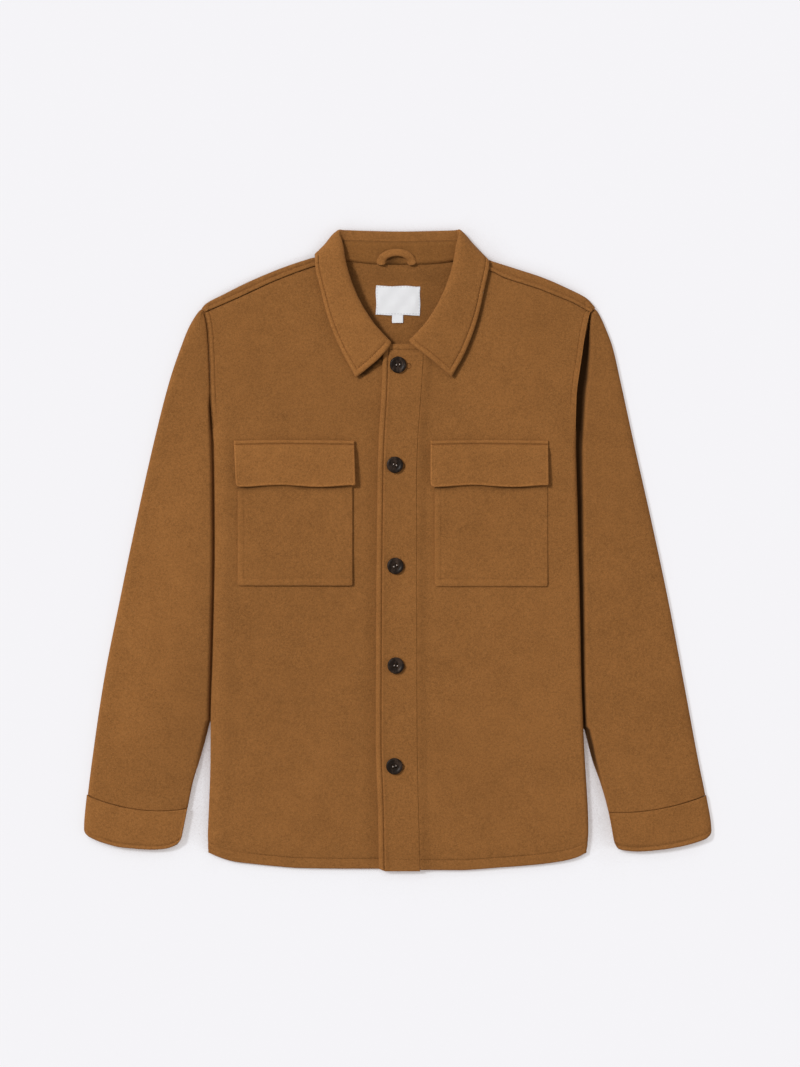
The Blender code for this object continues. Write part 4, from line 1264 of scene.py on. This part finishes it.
def makeCollar():
    shares = [*collar["rollSteps"], *spaced(12, 0.2, 0.6), 0.66, 0.72, 0.78]
    columns = [("share", share) for share in shares]
    columns += [("edge", d) for d in reversed(collar["edgeSteps"])]

    def place(column, at):
        points = section(at)
        kind, value = column
        reach = (points[5] - points[4]).length
        share = value if kind == "share" else 1.0 - value / reach * collar["edgeShare"]
        spot = across(points, share)
        fromFree = (1.0 - share) / collar["edgeShare"] * reach
        halfPlace = min(at, 2 * collar["turn"] - at)
        fromFront = halfPlace * collar["wing"]
        wing = collar["rightTone"] if spot.x < collarMiddle else collar["leftTone"]
        relief, tone = 0.0, wing * softStep(share, 0.2, 0.2)
        behind = softStep(halfPlace, 1.06, 0.06)
        relief += behind * (0.0011 * softStep(share, 0.004, 0.020) - 0.0006)
        # painted highlight on the turned edge, painted shade at the seam and in the fold
        tone += behind * (collar["turnTone"] * bell(share - 0.05, 0.02)
                          - collar["seamShade"] * bell(share, 0.018))
        tone -= collar["foldShade"] * behind * inFold(spot.x)
        if share > 0.5:
            d = min(fromFree, fromFront)
            inWing = 1.0 - softStep(halfPlace, 0.96, 0.06)
            relief = stitchedEdge(d, collar["stitch"], collar["puff"], collar["groove"]) * inWing
            tone += rimLightGrooveShade(d, collar["stitch"], collar["edgeTone"], 0.35) * inWing
            relief += roundEdge(max(d, 0.0), collar["edgeRound"])
            relief += 0.0005 * wander(spot.x, spot.y, 41.0, 26.0) * inWing * softStep(
                share, 0.55, 0.1)
        elif halfPlace < 0.02:
            relief = roundEdge(fromFront, collar["edgeRound"])
        spot = spot + leafNormal(share, at) * (relief + cloth["double"] / 2)
        return *spot, tone

    piece = makeCloth("collarLeaf", columns, wingPlaces(), place, cloth["double"])
    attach(piece, "root")
    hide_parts("collar")


loopDetail = {
    "middle": -0.0013,      # x of its middle and y of its feet
    "foot": 0.3444,
    "half": 0.0184,
    "rise": 0.0117,
    "width": 0.0088,
    "footWidth": 0.0114,
    "past": 0.24,           # how far the ends run on past half a turn
    "thick": 0.0034,
    "wall": 0.0016,
    "lift": 0.0038,
    # y and z of the neck seam and of the leaf's seam under it
    "seams": ((0.3446, 0.0045), (0.3676, 0.0061)),
}
# room between the stand and the leaf, by place
standRoom = ((0.00, 0.0012), (0.76, 0.0012), (0.93, 0.0031), (1.05, 0.0031), (1.10, 0.0004),
             (1.60, 0.0003))


def standPoint(share, at):
    low = stationPoint(standTable, at, 1)
    high = stationPoint(leafTable, at, 1)
    room = follow(standRoom, collar["turn"] - abs(at - collar["turn"]))
    return low.lerp(high, share * (1.0 - room / (high - low).length))


def underLoop(x, y):
    # painted shadow inside the hanger loop, deepest beside its left half
    half, rise = loopDetail["half"] - 0.0058, loopDetail["rise"] - 0.0044
    right, up = (x - loopDetail["middle"]) / half, (y - loopDetail["foot"]) / rise
    inside = 1.0 - softStep(math.hypot(right, up), 0.85, 0.35)
    return inside * mix(0.62, 0.10, softStep(right - 0.7 * up, -1.2, 1.9))


def makeStand():
    first = standStations[0][0]
    places = spaced(150, first, 2 * collar["turn"] - first)
    shares = (0.0, 0.02, 0.05, 0.1, 0.2, 0.35, 0.5, 0.65, 0.8, 0.9, 0.95, 0.98, 1.0)

    def place(share, at):
        spot = standPoint(share, at)
        height = (standPoint(1.0, at) - standPoint(0.0, at)).length
        d = min(share, 1.0 - share) * height
        spot.z += cloth["double"] / 2 + roundEdge(d, collar["standRound"])
        spot.z += 0.0003 * wander(spot.x, spot.y, 51.0, 45.0) * smoothStep(d / 0.004)
        fromBand = (1.0 - share) * height
        # painted highlight just below the leaf's seam and painted shade in it
        tone = 0.05 * bell(fromBand - 0.0022, 0.0012) - 0.25 * bell(fromBand, 0.0008)
        tone -= collar["standFoldShade"] * inFold(spot.x) * softStep(spot.y, 0.345, 0.01)
        return *spot, tone - underLoop(spot.x, spot.y)

    piece = makeCloth("collarStand", shares, places, place, cloth["double"],
                      materials=(woolShadedInside,))
    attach(piece, "root")
    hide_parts("collar_stand")


makeCollar()
makeStand()
print("collar made")


def loopHeight(y):
    # top of the stand under the strap
    (lowY, lowZ), (highY, highZ) = loopDetail["seams"]
    share = max((y - lowY) / (highY - lowY), 0.0)
    return lowZ + cloth["double"] / 2 + share * (highZ - lowZ)


def loopPoint(turn, v):
    # v runs across the strap, from its inner edge to its outer
    up = max(math.sin(turn), 0.0)
    fromEnd = math.pi / 2 + loopDetail["past"] - abs(turn - math.pi / 2)
    half = mix(loopDetail["footWidth"], loopDetail["width"], up) / 2
    half *= 0.5 + 0.5 * math.sqrt(min(max(fromEnd / 0.20, 0.0), 1.0))
    reach = loopDetail["half"] + mix(-half, half, v)
    rise = loopDetail["rise"] + mix(-half, half, v)
    x = loopDetail["middle"] + reach * math.cos(turn)
    y = loopDetail["foot"] + (rise if up else loopDetail["half"] * 0.7) * math.sin(turn)
    return x, y


def makeLoop():
    sides = [(math.sin(a), math.cos(a)) for a in spaced(14, -math.pi / 2, math.pi / 2)]
    past = loopDetail["past"]
    turns = spaced(52, math.pi + past, -past)

    def place(side, turn):
        offset, crown = side
        x, y = loopPoint(turn, 0.5 + 0.5 * offset)
        foot = smoothStep(math.sin(turn))
        z = loopHeight(y) + 0.0005 + loopDetail["thick"] * (0.25 + 0.75 * math.sqrt(crown + 0.02))
        z += loopDetail["lift"] * foot - 0.0002 * bell(offset, 0.25)
        # painted highlight along the strap's crown and painted shade at its edges
        return x, y, z, 0.24 - 0.26 * (1.0 - crown)

    piece = makeCloth("hangerStrap", sides, turns, place, loopDetail["wall"])
    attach(piece, "root")
    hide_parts("hanger_loop")


makeLoop()
print("hanger loop made")


# the neck label and the size tab are blank
labelDetail = {
    "label": (-0.0258, 0.0270, 0.2820, 0.3168),
    "tab": (-0.0066, 0.0066, 0.2724, 0.2817),
    "thick": 0.0005,
    "pucker": 0.0007,
    "inset": 0.0012,        # of its stitching
}


def labelSurface(x, y, top):
    lowX, highX = labelDetail["label"][:2]
    edge = min(x - lowX, highX - x)
    lift = 0.5 + 0.5 * math.sin(x * 260.0 + 1.3) * math.cos(y * 210.0)
    return top + labelDetail["pucker"] * lift * smoothStep(edge / 0.006)


def makeLabel(name, node, box, segments):
    lowX, highX, lowY, highY = box
    top = cloth["single"] + cloth["gap"] + labelDetail["thick"]

    def place(u, v):
        x, y = mix(lowX, highX, u), mix(lowY, highY, v)
        if name == "neckLabel":
            y += 0.0004 * math.sin(x * 190.0) - 0.0006 * u
            x += 0.0003 * math.sin(y * 240.0)
        return x, y, labelSurface(x, y, top)

    piece = makeCloth(name, spaced(segments), spaced(segments), place, labelDetail["thick"],
                      materials=(labelWeave,))
    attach(piece, "root")
    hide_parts(node)


makeLabel("neckLabel", "label", labelDetail["label"], 40)
makeLabel("sizeTab", "size_tab", labelDetail["tab"], 12)
print("labels made")


pocketDetail = {
    # low and high x, low and high y
    "right": {"box": (-0.1915, -0.0537, -0.0430, 0.118),
              "flap": (-0.1960, -0.0500, 0.0765, 0.132), "taper": 0.0026, "lean": 0.0018,
              "flapTone": 0.105},
    "left": {"box": (0.0443, 0.1800, -0.0440, 0.118),
             "flap": (0.0395, 0.1810, 0.0765, 0.132), "taper": 0.0, "lean": 0.0006,
             "flapTone": 0.060},
    "step": 0.0018,
    "thick": 0.0016,
    "corner": 0.003,
    "flapCorner": 0.004,
    "sideStitch": 0.0080,
    "baseStitch": 0.0086,
    "flapStitch": 0.0050,
    "steps": edgeSteps(0, 0.3, 0.8, 1.6, 3, 5, 6.3, 6.8, 7.3, 7.8, 8.4, 9, 9.8, 12),
    "flapSteps": edgeSteps(0, 0.3, 0.8, 1.6, 2.8, 4.0, 4.6, 5.0, 5.4, 6.0, 7.2, 9),
    "flapStart": 0.004,
    "flapRamp": 0.012,
    "edgeRound": 0.0011,
    "flapRound": 0.0014,
    "stitchTone": 0.06,
    "flapStitchTone": 0.08,
    # light on the cut edges, against the dark under the flap
    "openEdgeTone": 0.07,
    "flapLowTone": 0.42,
    "flapSideTone": 0.28,
    "underFlap": 0.50,
}


def flapWave(across):
    # how the lower edge of a flap runs, as a share of its width
    return 0.0012 * math.cos(across * 9.4 + 2.9) * smoothStep(min(across, 1.0 - across) / 0.04)


def underFlap(side, x, y):
    # the pocket lies dark close under the flap's edge
    lowX, highX, lowY, _ = pocketDetail[side]["flap"]
    below = lowY + flapWave(min(max((x - lowX) / (highX - lowX), 0.0), 1.0)) - y
    return pocketDetail["underFlap"] * (bell(below - 0.0006, 0.0012)
                                        + 0.28 * bell(below - 0.0030, 0.0030))


def softCorner(x, y, box, radius):
    # pulls the two lower corners of a rectangle in to a round
    lowX, highX, lowY, _ = box
    for out, centreX in ((-1, lowX + radius), (1, highX - radius)):
        dx, dy = (x - centreX) * out, lowY + radius - y
        if dx > 0.0 and dy > 0.0:
            share = max(dx, dy) / math.hypot(dx, dy)
            x, y = centreX + out * dx * share, lowY + radius - dy * share
    return x, y


def makePocket(side):
    box = pocketDetail[side]["box"]
    lowX, highX, lowY, highY = box
    steps = pocketDetail["steps"]
    columns = along((steps, steps), highX - lowX, 0.0036)
    rows = along((steps, edgeSteps(0, 2, 5)), highY - lowY, 0.0038)

    def place(fromLeft, fromLow):
        x, y = softCorner(lowX + fromLeft, lowY + fromLow, box, pocketDetail["corner"])
        z = frontBase(side, x, y) + pocketDetail["step"]
        fromRight = (highX - lowX) - fromLeft
        d = min(fromLeft, fromRight)
        base = stitchedEdge(fromLow, pocketDetail["baseStitch"], 0.0008, 0.0003, 0.0014)
        z += base * smoothStep(d / 0.006)
        sides = stitchedEdge(fromLeft, pocketDetail["sideStitch"], 0.0006, 0.0001, 0.0014)
        z += sides * softStep(fromLow, 0.004, 0.004)
        z += 0.0009 * bell(fromRight, 0.025) * bell(fromLow, 0.030)
        z += roundEdge(min(d, fromLow), pocketDetail["edgeRound"])
        z += 0.0005 * wander(x, y, 61.0, 22.0) * softStep(d, 0.008, 0.02)
        tone = paintedShadeTone(x, y)
        for distance, stitch in ((fromLow, "baseStitch"), (fromLeft, "sideStitch")):
            tone += rimLightGrooveShade(distance, pocketDetail[stitch], pocketDetail["stitchTone"], 0.3)
        tone += pocketDetail["openEdgeTone"] * bell(fromRight, 0.0014) - underFlap(side, x, y)
        return x, y, z, tone

    piece = makeCloth("pocketPatch_" + side, columns, rows, place, pocketDetail["thick"])
    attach(piece, "root")
    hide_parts("pocket_" + side)


def flapSurface(side, x, y, fromTop, fromLow, d):
    sewn = cloth["gap"] + cloth["double"]
    climb = softStep(fromTop, pocketDetail["flapStart"], pocketDetail["flapRamp"])
    z = frontBase(side, x, y) + sewn + (cloth["single"] + cloth["gap"]) * climb
    z += stitchedEdge(fromTop, pocketDetail["flapStitch"], 0.0008, 0.0009)
    lowRight = softStep(x, mix(*pocketDetail[side]["flap"][:2], 0.66), 0.05)
    z += 0.0016 * lowRight * softStep(fromTop, 0.008, 0.045)
    z += 0.0006 * bell(fromLow - 0.0016, 0.0012) - 0.0002 * bell(d - 0.0034, 0.0008) * climb
    z += 0.0003 * bell(d - 0.0014, 0.0010) * climb
    z += 0.0004 * wander(x, y, 71.0, 28.0) * smoothStep(d / 0.01) * climb
    return z + roundEdge(min(d, fromLow, fromTop), pocketDetail["flapRound"])


def flapTone(side, x, y, fromTop, fromLow, d):
    tone = paintedShadeTone(x, y) + pocketDetail[side]["flapTone"]
    tone += rimLightGrooveShade(fromTop, pocketDetail["flapStitch"], pocketDetail["flapStitchTone"])
    tone += pocketDetail["flapLowTone"] * bell(fromLow - 0.0010, 0.0011)
    return tone + pocketDetail["flapSideTone"] * bell(d - 0.0008, 0.0010)


def makeFlap(side):
    box = pocketDetail[side]["flap"]
    lowX, highX, lowY, highY = box
    steps = pocketDetail["flapSteps"]
    columns = along((steps, steps), highX - lowX, 0.0036)
    rows = along((steps, steps), highY - lowY, 0.0034)

    def place(fromLeft, fromLow):
        width, height = highX - lowX, highY - lowY
        x, y = softCorner(lowX + fromLeft, lowY + fromLow, box, pocketDetail["flapCorner"])
        share = fromLow / height
        across = (x - lowX) / width
        x += pocketDetail[side]["taper"] * (1.0 - across) * (1.0 - share)
        x -= pocketDetail[side]["lean"] * across * share
        y += flapWave(across) * (1.0 - share)
        y -= 0.0010 * (2 * across - 1) ** 2 * share
        fromTop = height - fromLow
        d = min(fromLeft, width - fromLeft)
        return (x, y, flapSurface(side, x, y, fromTop, fromLow, d),
                flapTone(side, x, y, fromTop, fromLow, d))

    piece = makeCloth("flapCloth_" + side, columns, rows, place, cloth["double"])
    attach(piece, "root")
    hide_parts("flap_" + side)


for side in ("right", "left"):
    makePocket(side)
    makeFlap(side)
print("pockets and flaps made")


buttonDetail = {
    "places": ((0.0007, 0.2217), (-0.0031, 0.1020), (-0.0025, -0.0190), (-0.0021, -0.1382),
               (-0.0037, -0.2586)),
    "radius": 0.0099,
    "thick": 0.0034,
    "sink": 0.0009,
    "hole": 0.00098,
    "holeOffset": 0.00185,
    "base": 0.0110,
    "turns": (0.15, -0.35, 0.4, -0.1, 0.25),
    "holeSoft": 0.00012,
    # the two pairs of thread: half the room between them, height, width and half their length
    # as a share of the holes' offset
    "threadGap": 0.00028,
    "threadRise": 0.0017,
    "threadWidth": 0.0006,
    "threadReach": 0.48,
}


def makeButtonShape():
    rim, top, sink = buttonDetail["radius"], buttonDetail["thick"], buttonDetail["sink"]
    profile = ((0.0, top - sink), (0.50 * rim, top - sink), (0.60 * rim, top - 0.85 * sink),
               (0.68 * rim, top - 0.35 * sink), (0.76 * rim, top - 0.05 * sink),
               (0.84 * rim, top), (0.91 * rim, 0.94 * top), (0.97 * rim, 0.78 * top),
               (rim, 0.55 * top), (0.98 * rim, 0.34 * top), (0.88 * rim, 0.10 * top),
               (0.70 * rim, 0.0), (0.0, 0.0))
    form = bmesh.new()
    verts = [form.verts.new((radius, 0.0, z)) for radius, z in profile]
    edges = [form.edges.new(pair) for pair in zip(verts, verts[1:])]
    bmesh.ops.spin(form, geom=verts + edges, cent=(0, 0, 0), axis=(0, 0, 1), angle=math.tau,
                   steps=56, use_merge=True, use_duplicate=False)
    bmesh.ops.remove_doubles(form, verts=form.verts, dist=1e-6)
    bmesh.ops.recalc_face_normals(form, faces=form.faces)
    return form


def makeButton(number):
    x, y = buttonDetail["places"][number - 1]
    turn = Matrix.Rotation(buttonDetail["turns"][number - 1], 4, "Z")
    where = Matrix.Translation((x, y, buttonDetail["base"])) @ turn
    form = makeButtonShape()
    bmesh.ops.transform(form, matrix=where, verts=form.verts)
    piece = finishMesh(f"hornButton_{number}", form, (horn,))
    drill = bmesh.new()
    offset = buttonDetail["holeOffset"]
    for dx, dy in ((1, 1), (-1, 1), (-1, -1), (1, -1)):
        spot = where @ Matrix.Translation((dx * offset, dy * offset, 0.0))
        bmesh.ops.create_cone(drill, cap_ends=True, segments=14, radius1=buttonDetail["hole"],
                              radius2=buttonDetail["hole"], depth=0.02, matrix=spot)
    cutter = finishMesh(f"drill_{number}", drill, (horn,))
    holes = piece.modifiers.new("holes", "BOOLEAN")
    holes.object = cutter
    edge = piece.modifiers.new("soft holes", "BEVEL")
    edge.width = buttonDetail["holeSoft"]
    edge.segments = 2
    edge.limit_method = "ANGLE"
    edge.angle_limit = math.radians(50)
    settle(piece, 40.0)
    bpy.data.objects.remove(cutter, do_unlink=True)
    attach(piece, "root")
    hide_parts(f"button_{number}")
    return where


def addStitch(form, start, end, width, rise=0.5):
    # one short rounded stitch between two points
    reach = end - start
    length = reach.length
    forward = reach.normalized()
    side = Vector((0, 0, 1)).cross(forward).normalized()
    up = forward.cross(side)
    turn = Matrix((forward, side, up)).transposed().to_4x4()
    size = Matrix.Diagonal((length / 2, width / 2, width * rise, 1.0))
    where = Matrix.Translation((start + end) / 2) @ turn @ size
    bmesh.ops.create_icosphere(form, subdivisions=1, radius=1.0, matrix=where)


def addArch(form, start, end, height, width):
    # a thread that rises out of one hole and goes down another
    points = [start, start.lerp(end, 0.25) + Vector((0, 0, height)),
              start.lerp(end, 0.75) + Vector((0, 0, height)), end]
    for low, high in zip(points, points[1:]):
        addStitch(form, low - (high - low) * 0.15, high + (high - low) * 0.15, width)


def finishThread(name, form, material):
    piece = finishMesh(name, form, (material,))
    piece.data.shade_smooth()
    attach(piece, "root")


def makeButtonThreads(placings):
    form = bmesh.new()
    z = buttonDetail["thick"] - buttonDetail["sink"] - 0.0012
    offset = buttonDetail["holeOffset"]
    reach = buttonDetail["threadReach"] * offset
    for where in placings:
        for dx in (-1, 1):
            for nudge in (-buttonDetail["threadGap"], buttonDetail["threadGap"]):
                x = dx * offset + nudge
                addArch(form, where @ Vector((x, -reach, z)), where @ Vector((x, reach, z)),
                        buttonDetail["threadRise"], buttonDetail["threadWidth"])
    finishThread("buttonThread", form, threads["pale"])


makeButtonThreads([makeButton(number) for number in range(1, 6)])
print("buttons made")


stitching = {
    "pitch": 0.0036,
    "length": 0.0026,
    "width": 0.00062,
    "sunk": 0.00035,        # into the collar
    # low and high x of the hem's rows
    "hem": {"right": (-0.2235, -0.0240), "left": (0.0285, 0.2225)},
    "placketHem": (-0.0150, 0.0260),
    "placketLow": -0.381,
    "armTop": 0.2800,
    "wingEnd": 0.965,       # place on the collar where the row along its edge ends
    "wingStart": 0.56,      # share of the section where the row along its front starts
}


def runStitches(form, path):
    # stitches at an even pitch along a list of points on the surface
    walked, due = 0.0, 0.0
    for low, high in zip(path, path[1:]):
        reach = (high - low).length
        while due < walked + reach and reach > 0.0:
            spot = low.lerp(high, (due - walked) / reach)
            way = (high - low).normalized() * (stitching["length"] / 2)
            addStitch(form, spot - way, spot + way, stitching["width"])
            due += stitching["pitch"]
        walked += reach


def pathOn(surface, points):
    return [Vector((x, y, surface(x, y))) for x, y in points]


def stitchShare(at):
    # share of a collar section at which the stitches along its free edge cross it
    points = section(at)
    return 1.0 - collar["stitch"] / (points[5] - points[4]).length * collar["edgeShare"]


def onLeaf(share, at):
    return leafPoint(share, at) + leafNormal(share, at) * (
        cloth["double"] / 2 - stitching["sunk"])


def makeStitching():
    form = bmesh.new()
    hem = cloth["hemStitch"]
    for side, ends in stitching["hem"].items():
        runStitches(form, pathOn(lambda x, y: frontSurface(side, x, y, 0.05),
                                 [(x, hemLine(x) + hem) for x in spaced(60, *ends)]))
        sign = -1.0 if side == "right" else 1.0
        rows = spaced(30, frontDetail["armStitchEnd"] + 0.004, stitching["armTop"])
        points = [(follow(sideLine[side], y) - sign * frontDetail["armStitch"], y) for y in rows]
        runStitches(form, pathOn(lambda x, y: frontSurface(side, x, y, frontDetail["armStitch"]),
                                 points))
    finishThread("bodyStitching", form, threads["tonal"])

    form = bmesh.new()
    free = placketDetail["stitch"]
    y = placketTop - placketDetail["topStitch"]
    rows = spaced(160, stitching["placketLow"], y)
    runStitches(form, pathOn(placketSurface, [(follow(placketLine, at, 1) + free, at)
                                              for at in rows]))
    ends = (follow(placketLine, y, 1) + free, follow(placketLine, y, 2) - 0.001)
    runStitches(form, pathOn(placketSurface, [(x, y) for x in spaced(12, *ends)]))
    runStitches(form, pathOn(placketSurface, [(x, hemLine(x) + hem)
                                              for x in spaced(12, *stitching["placketHem"])]))
    finishThread("placketStitching", form, threads["tonal"])

    form = bmesh.new()
    places = spaced(120, collar["stitch"] / collar["wing"], stitching["wingEnd"])
    for wing in (places, [2 * collar["turn"] - at for at in places]):
        runStitches(form, [onLeaf(stitchShare(at), at) for at in wing])
        shares = spaced(60, stitching["wingStart"], stitchShare(wing[0]))
        runStitches(form, [onLeaf(share, wing[0]) for share in shares])
    finishThread("collarStitching", form, threads["tonal"])


def makeButtonholes():
    form = bmesh.new()
    slots = bmesh.new()
    for (end, y), (middle, _) in zip(buttonholes["ends"], buttonDetail["places"]):
        start = middle + buttonholes["start"]
        level = placketSurface(end - 0.003, y)
        low = y - buttonholes["low"]
        centre = end - buttonholes["eye"] / 2
        # a dark stitch painted as the shade inside each slit
        addStitch(slots, Vector((start, low, level)),
                  Vector((max(centre - 0.0020, start + 0.0016), low, level)),
                  buttonholes["width"])
        for turn in spaced(26, -2.5, 2.5):
            away = Vector((math.cos(turn), 1.1 * math.sin(turn), 0.0))
            spot = Vector((centre, low, level + 0.0001)) + away * buttonholes["eye"] / 2
            away *= buttonholes["purl"]
            addStitch(form, spot - away, spot + away, buttonholes["purl"], 0.6)
    finishThread("buttonholeStitching", form, threads["tonal"])
    finishThread("buttonholeSlots", slots, threads["dark"])


def makeLabelStitching():
    form = bmesh.new()
    lowX, highX, lowY, highY = labelDetail["label"]
    inset, top = labelDetail["inset"], cloth["single"] + cloth["gap"] + labelDetail["thick"]
    corners = ((lowX + inset, lowY + inset), (highX - inset, lowY + inset),
               (highX - inset, highY - inset), (lowX + inset, highY - inset),
               (lowX + inset, lowY + inset))
    for (x0, y0), (x1, y1) in zip(corners, corners[1:]):
        points = [(mix(x0, x1, t), mix(y0, y1, t)) for t in spaced(20)]
        runStitches(form, [Vector((x, y, labelSurface(x, y, top))) for x, y in points])
    finishThread("labelStitching", form, threads["white"])


makeStitching()
makeButtonholes()
makeLabelStitching()
print("stitching made")


studio = {
    "floorSize": 6.0,
    "floorAlbedo": (0.400, 0.424, 0.460),
    "floorGlow": (0.525, 0.493, 0.484),
    "creviceReach": 0.06,   # how near two pieces must stand to dim the floor between them
    "creviceLean": (0.97, 0.24),    # sideways and up, the way it is looked for
    "creviceRamp": (0.012, 0.215),
    "creviceSamples": 4,
    "creviceShade": (0.17, 0.09, 0.05),     # what is left of the floor's own light there
    "keyStrength": 2.38,
    "keyFrom": (-0.860, 0.510, 1.000),
    "keySpread": 11.0,      # degrees
    "rimStrength": 0.40,
    "rimFrom": (0.880, -0.280, 0.380),
    "rimSpread": 45.0,
    "worldStrength": 0.395,
    "lens": 112.46,
    "cameraPlace": (0.0030, 0.0198, 4.0),
}


def openTo(nodes, links, side):
    # how open the floor lies toward one side, for the gaps between the sleeves and the body
    lean = nodes.new("ShaderNodeCombineXYZ")
    sideways, up = studio["creviceLean"]
    lean.inputs["X"].default_value = sideways * side
    lean.inputs["Z"].default_value = up
    near = nodes.new("ShaderNodeAmbientOcclusion")
    near.samples = studio["creviceSamples"]
    near.inputs["Distance"].default_value = studio["creviceReach"]
    links.new(lean.outputs["Vector"], near.inputs["Normal"])
    return near.outputs["AO"]


def makeFloor():
    form = bmesh.new()
    bmesh.ops.create_grid(form, x_segments=8, y_segments=8, size=studio["floorSize"])
    floor = finishMesh("floorSheet", form, ())
    material, nodes, links, shader = newMaterial("paleFloor")
    place = objectPlace(nodes)
    soft = addNoise(nodes, links, place, 3.0, 1.0)
    level = studio["floorAlbedo"]
    shade = addBlend(nodes, links, soft, level, tuple(0.99 * c for c in level))
    shader.inputs["Roughness"].default_value = 0.9
    shader.inputs["Specular IOR Level"].default_value = 0.0
    walled = [addMath(nodes, links, "SUBTRACT", 1.0, openTo(nodes, links, side))
              for side in (-1.0, 1.0)]
    crevice = addMath(nodes, links, "MULTIPLY", *walled)
    crevice = addRamp(nodes, links, crevice, *studio["creviceRamp"])
    dark = tuple(left * glow for left, glow in zip(studio["creviceShade"], studio["floorGlow"]))
    for socket, plain in (("Base Color", shade), ("Emission Color", studio["floorGlow"])):
        links.new(addBlend(nodes, links, crevice, plain, dark), shader.inputs[socket])
    shader.inputs["Emission Strength"].default_value = 1.0
    floor.data.materials.append(material)


def makeSoftLight(name, strength, toward, spread):
    lamp = bpy.data.lights.new(name, "SUN")
    lamp.energy = strength
    lamp.angle = math.radians(spread)
    light = bpy.data.objects.new(name, lamp)
    light.rotation_euler = Vector(toward).to_track_quat("Z", "Y").to_euler()
    bpy.context.scene.collection.objects.link(light)


def makeLight():
    world = bpy.data.worlds.new("studioFill")
    bpy.context.scene.world = world
    world.use_nodes = True
    fill = world.node_tree.nodes["Background"]
    fill.inputs["Color"].default_value = (1.0, 1.0, 1.0, 1.0)
    fill.inputs["Strength"].default_value = studio["worldStrength"]
    makeSoftLight("softKey", studio["keyStrength"], studio["keyFrom"], studio["keySpread"])
    makeSoftLight("softRim", studio["rimStrength"], studio["rimFrom"], studio["rimSpread"])


def makeCamera():
    lens = bpy.data.cameras.new("topCamera")
    lens.lens = studio["lens"]
    lens.sensor_width = 36.0
    camera = bpy.data.objects.new("topCamera", lens)
    camera.location = studio["cameraPlace"]
    bpy.context.scene.collection.objects.link(camera)
    bpy.context.scene.camera = camera


makeFloor()
makeLight()
makeCamera()
bpy.context.scene.view_settings.view_transform = "Standard"
print("studio made")
